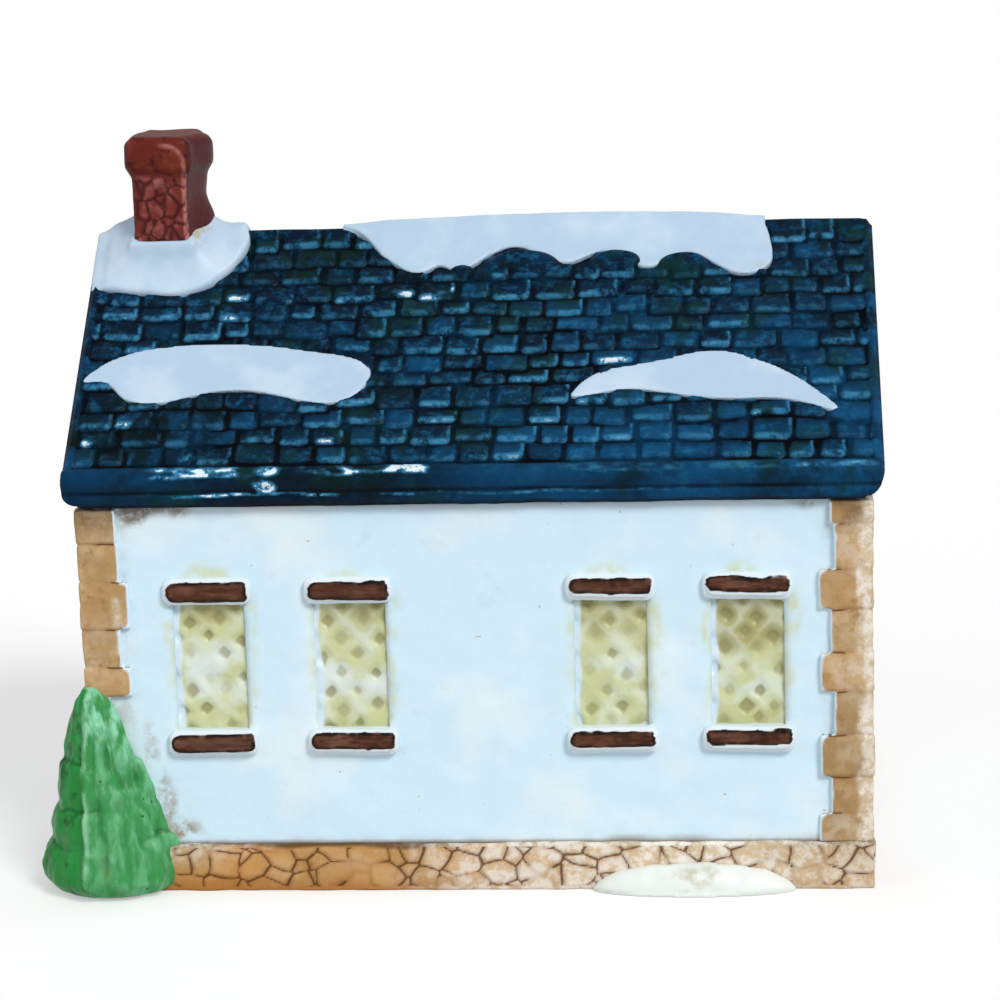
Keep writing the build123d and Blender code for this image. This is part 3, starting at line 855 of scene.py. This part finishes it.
slateLook = {
    "grid": 0.27, "courses": 13, "width": 5.2, "widthSpread": 1.3, "joint": 0.30, "head": 0.22, "tail": 0.78,
    "bed": 0.16, "wander": 0.85, "drop": 0.36, "rise": 0.14, "lean": 0.14, "corner": 0.9, "shoulder": 0.75,
    # rubbed: share of slates that get a painted glare of white glints
    "gap": 0.26, "setback": 1.0, "verge": 1.8, "under": 1.0, "rubbed": 0.10, "vary": 0.8, "ridgeHigh": 0.9,
    "vergeHigh": 0.75, "bumps": [(0.05, 1.3), (0.06, 3.0)],
    # where the glaze ran together, nearly black: along, down, half width, half height in mm, strength
    "pools": [(-46, 36, 18, 9, 1.0), (-24, 7, 14, 5, 0.8), (-6, 10, 18, 4, 0.9), (44, 3, 13, 5, 0.9),
              (-18, 31, 12, 6, 0.6), (22, 33, 12, 5, 0.5), (50, 14, 7, 9, 0.6), (-46, 18, 10, 5, 0.5)],
    # smooth mounds in the scallops of the ridge snow: along, down, half width, reach up the slope in mm
    "mounds": [(6.2, 7.0, 6.9, 3.9), (19.6, 7.0, 4.9, 3.5), (29.4, 7.6, 4.9, 3.1), (-2.4, 8.2, 2.4, 1.4)],
    "moundHigh": 1.5, "moundFoot": 1.0,
}


def layCourses(look, seed):
    rng = random.Random(seed)
    courses = []
    for _ in range(look["courses"]):
        cuts = [roofLow.x - rng.uniform(0.2, 1.0) * look["width"]]
        while cuts[-1] < roofHigh.x:
            cuts.append(cuts[-1] + look["width"] + rng.uniform(-1, 1) * look["widthSpread"])
        slates = [{key: rng.uniform(-1, 1) * look[key] for key in ("drop", "rise", "lean")}
                  | {key: rng.random() for key in ("tone", "rub", "joint", "lap")} for _ in cuts]
        courses.append((cuts, slates))
    return courses


def snowCover(back):
    # says whether a spot of the slope, along and down in mm, lies well under a snow pad
    pads = []
    for node in sorted(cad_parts):
        if node == "snow_ridge" or node.startswith("snow_drift_back" if back else "snow_drift_front"):
            low, high = boxMm(node)
            lift = 0.0 if node == "snow_ridge" else snowLook["lift"]
            pads.append((BVHTree.FromBMesh(nodeCopy(node)), low.x, high.x, lift))
    out = slopeOut(back)

    def covered(x, down):
        return any(start < x < end and tree.ray_cast(onSlope(x, down + lift, 0.4, back) * mm, out, 4 * mm)[0]
                   for tree, start, end, lift in pads)

    r = snowLook["hide"]
    return lambda x, down: all(covered(x + i, down + j) for i, j in ((r, 0), (-r, 0), (0, r), (0, -r)))


def makeSlates(look, node, back, seed):
    courses = layCourses(look, seed)
    hidden = snowCover(back)
    step = (slopeLength - look["setback"]) / look["courses"]
    last = look["courses"] - 1
    long = roofHigh.x - roofLow.x

    def varied(size, slate):
        return look[size] * (1 + look["vary"] * (2 * slate - 1))

    def slateAt(i, x):
        cuts, slates = courses[i]
        k = max(0, min(len(slates) - 2, bisect.bisect(cuts, x) - 1))
        joints = [varied("joint", slates[j]["joint"]) / 2 for j in (k, k + 1)]
        return cuts[k] + joints[0], cuts[k + 1] - joints[1], slates[k]

    def courseFoot(i, x):
        # how far down the slope course i ends at x
        wander = look["wander"] * noise.noise(Vector((x / 17, i * 1.7, seed)))
        return (i + 1) * step + (wander + slateAt(i, x)[2]["drop"] if i < last else 0)

    bm = bmesh.new()
    shape = Matrix.Diagonal((long * mm, slopeLength * mm, 1, 1))
    shape = Matrix.Translation((0, -slopeLength / 2 * mm, 0)) @ shape
    bmesh.ops.create_grid(bm, x_segments=round(long / look["grid"]),
                          y_segments=round(slopeLength / look["grid"]), size=0.5, matrix=shape)
    marks = {key: bm.verts.layers.float.new(key) for key in ("relief", "worn", "tone", "streaky", "pool")}
    for v in bm.verts:
        x, down = v.co.x / mm, -v.co.y / mm
        place = Vector((x, down, seed))
        i = max(0, min(last, int(down / step)))
        while i > 0 and down < courseFoot(i - 1, x):
            i -= 1
        while i < last and down > courseFoot(i, x):
            i += 1
        left, right, slate = slateAt(i, x)
        head = courseFoot(i - 1, x) if i else 0.0
        foot = courseFoot(i, x)
        # how far in from the slate's edges the spot is, and the pillow that this makes
        ragged = 0.2 * lump(place, 1.9, 5)
        rightGap = right - x + ragged
        side = min(x - left + ragged, rightGap)
        tail = foot - down - varied("gap", slate["lap"]) + 0.12 * lump(place, 2.5, 10)
        r = look["corner"]
        edge = min(side, tail)
        if max(side, tail) < r:
            edge = r - math.hypot(r - side, r - tail)
        pillow = ramp(0.0, look["shoulder"], edge)
        t = min(1.0, max(0.0, (down - head) / max(foot - head, 0.1)))
        high = look["head"] + (look["tail"] - look["head"]) * t + slate["rise"]
        high += slate["lean"] * (2 * (x - left) / (right - left) - 1)
        out = look["bed"] + pillow * high + bumps(place, look["bumps"], 6)
        if down > look["courses"] * step:
            out, pillow = look["bed"] + 0.4 * ramp(slopeLength - 0.6, slopeLength, down), 0.35
        # the roll along the ridge and the borders at the gables
        ridgeRoll = 1 - ramp(0.3, 1.6, down)
        out += ridgeRoll * (look["ridgeHigh"] + 0.12 * lump(Vector((x, 0, 0)), 9, 8) - out)
        end = min(x - roofLow.x, roofHigh.x - x)
        border = 1 - ramp(look["verge"] - 0.6, look["verge"] + 0.2 * lump(place, 6, 9), end)
        out += border * (look["vergeHigh"] * ramp(0.0, 0.9, end) - out)
        pillow = max(pillow, 0.6 * ridgeRoll, border * 0.7)
        # pale rims on the lower and right edges, partly glaze rubbed off and partly painted highlight; on a
        # few slates a painted glare of white glints
        rim = ramp(0.0, 0.4, edge) * (1 - ramp(0.3, 1.5, min(tail, rightGap * 1.6))) * (1 - border)
        if slate["rub"] < look["rubbed"] * (0.4 + 2.0 * math.exp(-((left + 3) / 16) ** 2)):
            glare = max(rim, 0.8 * pillow * ramp(0.35, 0.8, t)) * (1 - border)
            rim = 1.5 * glare * ramp(-0.15, 0.35, lump(place, 3.2, 11))
        else:
            rim *= 0.2 + 0.8 * slate["rub"] ** 1.5
        # painted shade: the joints are darkened, and each slate's head, under the tail of the slate above,
        # darker still
        dark = ramp(-0.1, 0.5, edge + 0.25 * lump(place, 4.0, 12))
        dark = max(dark, 0.35 * ramp(0.15, 0.5, tail))  # upright joints stay shallower than the laps
        v[marks["relief"]] = dark * (0.5 + 0.5 * ramp(0.0, 0.6, t)) if border + ridgeRoll < 0.3 else pillow
        v[marks["worn"]] = rim
        v[marks["tone"]] = 0.58 * slate["tone"] + 0.20 * ramp(-50, 45, x) + 0.3 * ramp(12, 40, down)
        v[marks["streaky"]] = 1.0
        v[marks["pool"]] = blots(place, look["pools"], 17)
        if hidden(x, down):
            out = min(out, look["bed"])
        for along, at, wide, reach in look["mounds"] if not back else ():
            far = math.hypot((x - along) / wide, (down - at) / (reach if down < at else look["moundFoot"]))
            dome = ramp(1.0, 0.55, far + 0.08 * lump(place, 3.5, 18))
            out = max(out, dome * look["moundHigh"])
            if dome > 0.1:
                v[marks["relief"]] = max(v[marks["relief"]], 0.9 * dome)
                v[marks["worn"]] *= 1 - 0.8 * dome
                v[marks["tone"]] = 0.45 + 0.3 * lump(place, 5, 19)
        v.co = onSlope(x, down, out, back) * mm
    sink = slopeOut(back) * (look["under"] * mm)
    closeSheet(bm, lambda v: v.co - sink)
    finishPiece(bm, "slate_blue", node)


makeSlates(slateLook, "slates_front", False, 3)
makeSlates(slateLook, "slates_back", True, 4)

roofLook = {"voxel": 0.7, "soften": 2, "bumps": [(0.08, 8)], "round": ((2.4, 2.2), (2.6, 4.1))}


def makeRoofShell(look):
    bm = castClay(nodeCopy("roof_shell"), look)
    roundCorners(bm, *boxMm("eave_band_front"), False, look["round"])
    sculpt(bm, lambda p, n: bumps(p, look["bumps"], 31))
    markPaint(bm, relief=0.6, tone=0.4)
    finishPiece(bm, "slate_blue", "roof_shell")


makeRoofShell(roofLook)

bandLook = {
    "voxel": 0.28, "soften": 4, "bumps": [(0.12, 9), (0.06, 2)], "channel": 1.75, "pool": 0.7,
    # height above the foot of the band, distance in from its face, radius, mm
    "rolls": [(0.75, 0.95, 1.30), (3.25, 1.35, 1.75)],
    # white smears, partly painted highlights along the rolls: from and to along the band, height, half
    # height in mm, strength
    "smearsAndHighlights": [(-48, -16, 1.35, 0.36, 1.5), (-46, -27, 4.4, 0.9, 1.5), (-25, 4, 4.6, 0.9, 1.5),
               (2, 44, 4.5, 0.7, 0.5), (-14, 34, 1.35, 0.30, 0.6), (42, 57, 4.5, 0.5, 0.9)],
    # white drops: along, height, half width, half height in mm, strength
    "drops": [(-27.5, 4.6, 2.3, 1.1, 1.6), (-27.8, 2.4, 2.0, 1.3, 1.6)],
}


def makeBand(look, node):
    low, high = boxMm(node)
    bm = nodeCopy(node)
    out = 1 if high.y > 0 else -1
    face = high.y if out > 0 else low.y
    for up, inside, radius in look["rolls"]:
        place = Matrix.Translation(Vector((0, face - out * inside, low.z + up)) * mm)
        place = place @ Matrix.Rotation(math.pi / 2, 4, "Y")
        bmesh.ops.create_cone(bm, cap_ends=True, segments=40, radius1=radius * mm, radius2=radius * mm,
                              depth=(high.x - low.x) * mm, matrix=place)
    bmesh.ops.recalc_face_normals(bm, faces=bm.faces)
    bm = castClay(bm, look)
    roundCorners(bm, low, high, False, roofLook["round"])
    sculpt(bm, lambda p, n: bumps(p, look["bumps"], 33))

    # white smears and drops, partly painted highlights along the tops of the rolls
    def worn(p, n):
        long = Vector((p.x * 0.35, 0, p.z))
        streak = lump(long, 2.2, 35) + 0.7 * lump(Vector((p.x * 0.4, 0, p.z * 1.5)), 0.8, 39)
        best = blots(Vector((p.x, p.z - low.z, 0)), look["drops"], 40)
        for start, end, up, tall, strength in look["smearsAndHighlights"]:
            along = between(p.x, start, start + 4, end - 4, end)
            near = 1 - ramp(0.3, 1.0, abs(p.z - low.z - up + 0.35 * lump(long, 2.5, 37)) / tall)
            best = max(best, strength * along * near * ramp(-0.55, 0.45, streak))
        return best * ramp(-0.3, 0.2, n.y * out)

    # painted shade: darker in the channel between the rolls and on the faces turned down
    def relief(p, n):
        channel = 1 - ramp(0.1, 0.55, abs(p.z - low.z - look["channel"]))
        return 0.95 - 0.65 * max(channel, ramp(0.2, 0.8, -n.z))

    markPaint(bm, relief=relief, worn=worn,
              tone=lambda p, n: 0.46 + 0.4 * lump(p, 14, 36) + 0.3 * ramp(-30, 30, p.x),
              streaky=lambda p, n: 0.15 + 0.4 * ramp(-20, 30, p.x),
              pool=lambda p, n: look["pool"] * ramp(-0.1, 0.4, lump(p, 12, 38)))
    finishPiece(bm, "slate_blue", node)


makeBand(bandLook, "eave_band_front")
makeBand(bandLook, "eave_band_back")


# Chimney

chimneyLook = {
    "voxel": 0.26, "soften": 8, "stoneWide": 2.0, "stoneTall": 2.3, "crack": 0.15, "fade": 0.45,
    "depth": 0.32, "swell": 0.14, "relief": (8, 0.5), "round": ((2.0, 1.8), (2.0, 1.8)),
    "bulge": 2.0, "bulgeLeft": 0.35, "waist": 0.4, "flare": 0.9,
    "sideShade": 0.9, "capCover": 0.85, "capLine": 0.8, "rubbed": 0.7,
}


def makeChimney(look):
    low, high = boxMm("chimney_stack")
    capLow, capHigh = boxMm("chimney_cap")
    middle, half = (low + high) / 2, (high - low) / 2
    bm = castClay(nodeCopy("chimney_stack", "chimney_cap"), look)
    roundCorners(bm, capLow, capHigh, True, look["round"])
    # the sides swell towards the mould's parting plane and draw in at the waist
    for v in bm.verts:
        p = v.co / mm
        waist = look["waist"] * math.exp(-((p.z - high.z + 3.0) / 2.6) ** 2)
        flare = look["flare"] * ramp(high.z - 2.5, high.z - 6.5, p.z)
        swell = (1 - ramp(0.0, 1.0, abs(p.y - middle.y) / half.y)) * (look["bulge"] - waist + flare)
        side = ramp(0.3, 1.0, abs(p.x - middle.x) / half.x)
        v.co.x += (1 if p.x > middle.x else -look["bulgeLeft"]) * swell * side * mm
    carveStones(bm, look, lambda p, n: abs(n.y) > 0.75 and p.z < high.z - 0.2, 2.5)
    markRelief(bm, *look["relief"])

    # rubbed stones, and a pale line up the front-right edge and round the cap that is partly rubbed paint
    # and partly painted highlight
    def worn(p, n):
        edge = math.hypot(p.x - middle.x - half.x + 0.3, abs(p.y - middle.y) - half.y)
        line = (1 - ramp(0.2, 0.6, edge)) * (p.z < capHigh.z - 1.2)
        if abs(n.y) <= 0.75:
            return line
        # it goes on up the cap and turns in under the top
        turn = math.hypot(max(p.x - capHigh.x + 3.2, 0), max(p.z - capHigh.z + 3.4, 0))
        hook = 1 - ramp(0.1, 0.4, abs(turn - 2.1 + 0.3 * lump(p, 3, 55)))
        hook *= ramp(capHigh.x - 5.2, capHigh.x - 3.2, p.x) * (p.z > high.z + 0.8)
        rubbed = ramp(0.3, 0.6, lump(p, 2.2, 53)) * (p.z < high.z)
        return max(line, look["capLine"] * hook, look["rubbed"] * rubbed)

    def cap(p, n):
        return look["capCover"] * ramp(high.z - 0.5, high.z + 0.5, p.z + lump(p, 3, 54))

    # painted shade on the sides
    markPaint(bm, worn=worn, side=lambda p, n: look["sideShade"] * ramp(0.45, 0.75, abs(n.x)), cap=cap)
    finishPiece(bm, "brick_red", "chimney_stack", "chimney_cap", name="chimney")


makeChimney(chimneyLook)


# Snow

def finishSnow(bm, look, node):
    low, high = boxMm(node)
    ground = node == "snow_ground_drift"
    sculpt(bm, lambda p, n: bumps(p, look["bumps"], 71) * (p.z > low.z + 0.4))

    def stain(p, n):
        flat = Vector((p.x, p.z, 0))
        if ground:
            return blots(flat, [((low.x + high.x) / 2, *look["stainHeap"])], 73)
        if node == "snow_chimney":
            return blots(flat, [look["stainChimney"]], 74)
        patch = ramp(0.25, 0.55, lump(p, 6, 77))
        return look["stainFoot"] * patch * (1 - ramp(1.2, 2.6, p.z - low.z))

    markPaint(bm, clean=look["heapClean"] if ground else 0.0, stain=stain)
    finishPiece(bm, "snow_white", node)


def makeSnow(look, node):
    bm = castClay(nodeCopy(node), look)
    low, high = boxMm(node)
    long = high.x - low.x
    for v in bm.verts:
        p = v.co / mm
        if node == "snow_ridge":
            # it runs out to a point at one end, thins at both and is highest in the middle
            start, end = p.x - low.x, high.x - p.x
            v.co.y *= min(1.0, 0.25 + 0.75 * start / look["point"])
            v.co.z = (p.z + (abs(p.y) - abs(v.co.y) / mm) * math.tan(roofPitch)) * mm
            thin = look["thin"] * (1 - ramp(0, look["taper"], min(start, end)))
            arch = look["arch"] * ramp(0, 0.5, start / long) * ramp(0, 0.4, end / long)
            v.co.z += (arch - thin) * mm * ramp(4, 0.5, abs(p.y))
            v.co.z -= look["ridgeSink"] * mm * ramp(1.5, 4, abs(p.y))
        elif node != "snow_ground_drift":
            # pressed in between the slates
            upSlope = Vector((0, math.copysign(pitchCos, -p.y), pitchSin))
            v.co += (upSlope * look["lift"] - slopeOut(p.y > 0) * look["sink"]) * mm
    if node == "snow_ground_drift":
        sculpt(bm, lambda p, n: bumps(p, look["heapBumps"], 75) * (p.z > 0.5))
    finishSnow(bm, look, node)


bankLook = {"pad": 1.9, "reachSide": 5.2, "reachFront": 2.4, "atRidge": 2.0, "atRight": 3.6, "atFront": 4.4,
            "gableThin": 0.9, "footIn": 0.05, "footDown": 0.25, "voxel": 0.28, "soften": 10, "softenPad": 2}


def makeChimneySnow(look, node):
    # the pad on the slope, banked up against the chimney
    stackLow, stackHigh = boxMm("chimney_stack")
    gable = boxMm(node)[0].x
    bm = castClay(nodeCopy(node), look | {"soften": look["softenPad"]})
    bm.normal_update()
    for v in bm.verts:
        p = v.co / mm
        top = ridge - abs(p.y) * math.tan(roofPitch) + look["pad"] / pitchCos
        if p.z < top - 1.6 or v.normal.z < -0.3:
            continue
        aside = max(stackLow.x - p.x, 0, p.x - stackHigh.x)
        ahead = max(stackLow.y - p.y, 0, p.y - stackHigh.y)
        far = math.hypot(aside / look["reachSide"], ahead / look["reachFront"])
        atRidge = look["atRight"] if p.x > stackHigh.x else look["atRidge"]
        lift = atRidge + (look["atFront"] - atRidge) * min(1.0, abs(p.y) / stackHigh.y)
        bank = (1 - min(1.0, far)) ** 1.6
        ends = look["gableThin"] * (1 - ramp(0.0, 3.0, p.x - gable))  # it thins out towards the gable
        v.co.z = max(p.z, top + lift * bank - ends) * mm - ends * mm * (bank < 0.05)
    bm = castClay(bm, look)
    for v in bm.verts:
        # the foot of the skirt is drawn up the slope and lies flatter
        foot = ramp(4, 9, abs(v.co.y) / mm)
        v.co.y *= 1 - look["footIn"] * foot
        v.co.z -= look["footDown"] * mm * foot
    finishSnow(bm, snowLook, node)


for node in sorted(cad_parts):
    if node == "snow_chimney":
        makeChimneySnow(bankLook, node)
    elif node.startswith("snow"):
        makeSnow(snowLook, node)


# Tree

treeLook = {
    "voxel": 0.28, "soften": 2, "height": 30.3, "foot": (-52.3, -29.0), "tip": (-54.1, -33.0), "sink": 0.8,
    # radius at each height, mm; it steps in over each tier of branches
    "tiers": [(0.0, 7.6), (0.8, 9.3), (2.6, 10.4), (4.6, 10.5), (6.4, 9.8), (7.6, 8.7), (8.4, 8.0),
              (10.2, 8.4), (11.8, 8.0), (13.2, 6.6), (15.5, 6.7), (18.6, 6.0), (19.8, 4.7), (22.0, 4.5),
              (25.0, 3.6), (28.0, 2.5), (29.7, 1.3), (30.3, 0.0)],
    "wander": 1.3, "facing": -65.0, "facingSpread": 32, "flutes": 17, "flute": 0.34,
    "seam": -103.0, "seamHigh": 0.45, "folds": [8.1, 12.9, 19.4], "foldCut": 0.12,
    "branches": [(0.75, 2.4), (0.34, 1.2)], "grain": 0.1, "relief": (12, 0.75),
}


def tierRadius(tiers, z):
    heights = [t[0] for t in tiers]
    k = max(1, min(len(tiers) - 1, bisect.bisect(heights, z)))
    (z0, r0), (z1, r1) = tiers[k - 1], tiers[k]
    return r0 + (r1 - r0) * min(1.0, max(0.0, (z - z0) / (z1 - z0)))


def makeTree(look):
    tall = look["height"]
    tiers = look["tiers"]
    seam = math.radians(look["seam"])
    seamWay = Vector((-math.sin(seam), math.cos(seam), 0))
    inner = Vector((wallLow.x + look["sink"], wallLow.y + look["sink"], 0))

    def trunk(z):
        return Vector(look["foot"]).lerp(Vector(look["tip"]), min(1.0, z / tall)).to_3d()

    def tierShift(way, z):
        return look["wander"] * noise.noise(way * 1.6 + Vector((0, 0, z / 14)))

    def facing(around):
        # the tiers are shallow on this side
        return math.exp(-((math.degrees(around) - look["facing"]) / look["facingSpread"]) ** 2)

    bm = bmesh.new()
    bmesh.ops.create_uvsphere(bm, u_segments=96, v_segments=110, radius=1.0)
    for v in bm.verts:
        around = math.atan2(v.co.y, v.co.x)
        way = Vector((math.cos(around), math.sin(around), 0))
        z = tall * (0.5 - math.asin(max(-1.0, min(1.0, v.co.z))) / math.pi)
        tier = tierRadius(tiers, z + tierShift(way, z) * between(z, 0, 4, tall - 3, tall))
        plain = (tierRadius(tiers, z - 3) + tier + tierRadius(tiers, z + 3)) / 3
        even = (0.35 + 0.4 * facing(around)) * between(z, 1.5, 5, tall - 5, tall - 1)
        radius = tier + (plain - tier) * even
        past = (around - seam + math.pi) % (2 * math.pi) - math.pi  # the far side is beyond the seam
        line = 1 - ramp(0.1, 0.7, abs(past) * max(radius, 1.0))
        radius += look["seamHigh"] * line * between(z, 0, 3, tall - 2, tall)
        fluting = math.sin(around * look["flutes"] + 2.5 * noise.noise(way * 2 + Vector((0, 0, z / 7))))
        smooth = 1 - 0.7 * ramp(0.1, -0.4, past)
        radius += look["flute"] * fluting * smooth * between(z, 1, 5, tall - 6, tall)
        p = trunk(z) + way * radius
        p.z = z
        over = p - inner
        if over.x > 0 and over.y > 0:  # it wraps the corner of the house
            if over.x < over.y:
                p.x = inner.x
            else:
                p.y = inner.y
        v.co = p * mm
    bmesh.ops.recalc_face_normals(bm, faces=bm.faces)
    bm = castClay(bm, look)

    # painted shade: the far side beyond the seam is darker, and the tip a little
    def far(p, n):
        return ramp(0.2, -0.5, (p - trunk(p.z)).dot(seamWay) - 0.2) if p.z < tall - 0.5 else 0.3

    def groove(p, n):
        # the folds under each tier of branches, which are also painted darker as shade
        way = (p - trunk(p.z)).xy.normalized().to_3d()
        at = p.z + tierShift(way, p.z) + 0.5 * lump(p, 2.5, 96)
        near = min(abs(at - fold) for fold in look["folds"])
        shown = 1 - 0.85 * facing(math.atan2(way.y, way.x))
        return shown * (1 - ramp(0.05, 0.5, near)) * (0.45 + 0.55 * ramp(-0.2, 0.3, lump(p, 5, 97)))

    def push(p, n):
        long = Vector((p.x, p.y, p.z * 0.34))
        rough = bumps(long, look["branches"], 91) + look["grain"] * lump(p, 1.6, 94)
        return ramp(0.3, 2.0, p.z) * (rough * (1 - 0.5 * far(p, n)) - look["foldCut"] * groove(p, n))

    sculpt(bm, push)
    markRelief(bm, *look["relief"])

    # painted highlight: a pale line along the seam ridge
    def seamLine(p, n):
        return 1 - ramp(0.2, 0.65, abs((p - trunk(p.z)).dot(seamWay) + 0.2 * lump(p, 4, 95)))

    markPaint(bm, far=far, seam=seamLine, groove=groove,
              rubbed=lambda p, n: 1 - ramp(0.2, 0.9, p.z + 0.5 * lump(p, 2.5, 98)),
              crown=lambda p, n: ramp(0.45, 0.85, p.z / tall + 0.3 * lump(p, 6, 93)))
    finishPiece(bm, "fir_green", "fir_tree")


makeTree(treeLook)

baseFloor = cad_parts["base_floor"]
baseFloor.data.materials.clear()
baseFloor.data.materials.append(finishes["raw_base"])


# Floor, light and camera

stageLook = {"floorSize": 12.0, "glow": 0.42, "shade": 0.62}


def makeFloor(look):
    bm = bmesh.new()
    bmesh.ops.create_grid(bm, x_segments=2, y_segments=2, size=look["floorSize"] / 2)
    floor = addMesh("floor", bm)
    # matt white paper that keeps the shadow and looks white to the camera and in reflections
    material = bpy.data.materials.new("white paper floor")
    material.use_nodes = True
    material.node_tree.nodes.clear()
    shade = addNode(material, "ShaderNodeBsdfDiffuse", {"Color": [look["shade"]] * 3 + [1.0]})
    path = addNode(material, "ShaderNodeLightPath")
    seen = addNode(material, "ShaderNodeMath", {"operation": "MAXIMUM"},
                   {0: path.outputs["Is Camera Ray"], 1: path.outputs["Is Glossy Ray"]})
    glow = {"Color": [look["glow"]] * 3 + [1.0]}
    light = addNode(material, "ShaderNodeEmission", glow, {"Strength": seen.outputs[0]})
    both = addNode(material, "ShaderNodeAddShader", None, {0: shade.outputs[0], 1: light.outputs[0]})
    addNode(material, "ShaderNodeOutputMaterial", None, {"Surface": both.outputs[0]})
    floor.data.materials.append(material)


makeFloor(stageLook)

lightLook = {
    "world": 0.5,
    # where each light shines from, its strength and its spread in degrees
    "key": ((0.45, -0.62, 0.64), 1.9, 20),
    "fill": ((-0.75, -0.55, 0.35), 0.35, 40),
}


def makeLights(look):
    world = bpy.data.worlds.new("studio")
    bpy.context.scene.world = world
    world.use_nodes = True
    back = world.node_tree.nodes["Background"]
    back.inputs["Color"].default_value = (1, 1, 1, 1)
    back.inputs["Strength"].default_value = look["world"]
    for name in ("key", "fill"):
        place, strength, spread = look[name]
        lamp = bpy.data.lights.new(name, "SUN")
        lamp.energy = strength
        lamp.angle = math.radians(spread)
        holder = addObject(name, lamp)
        holder.location = place
        holder.rotation_euler = (-Vector(place)).to_track_quat("-Z", "Y").to_euler()


makeLights(lightLook)

cameraLook = {"place": (35.1, -427.2, 139.6), "focalPixels": 2959.0, "imagePixels": 1000.0,
              "yaw": 0.0783, "pitch": -0.2086, "roll": -0.0299}  # angles in radians, place in mm


def makeCamera(look):
    data = bpy.data.cameras.new("camera")
    data.sensor_width = 36.0
    data.lens = data.sensor_width * look["focalPixels"] / look["imagePixels"]
    data.clip_start = 0.01
    camera = addObject("camera", data)
    place = Matrix.Translation(Vector(look["place"]) * mm)
    for angle, axis in ((look["yaw"], "Z"), (math.pi / 2 + look["pitch"], "X"), (look["roll"], "Z")):
        place = place @ Matrix.Rotation(angle, 4, axis)
    camera.matrix_world = place
    bpy.context.scene.camera = camera


makeCamera(cameraLook)
bpy.context.scene.view_settings.view_transform = "Standard"

print("scene ready")
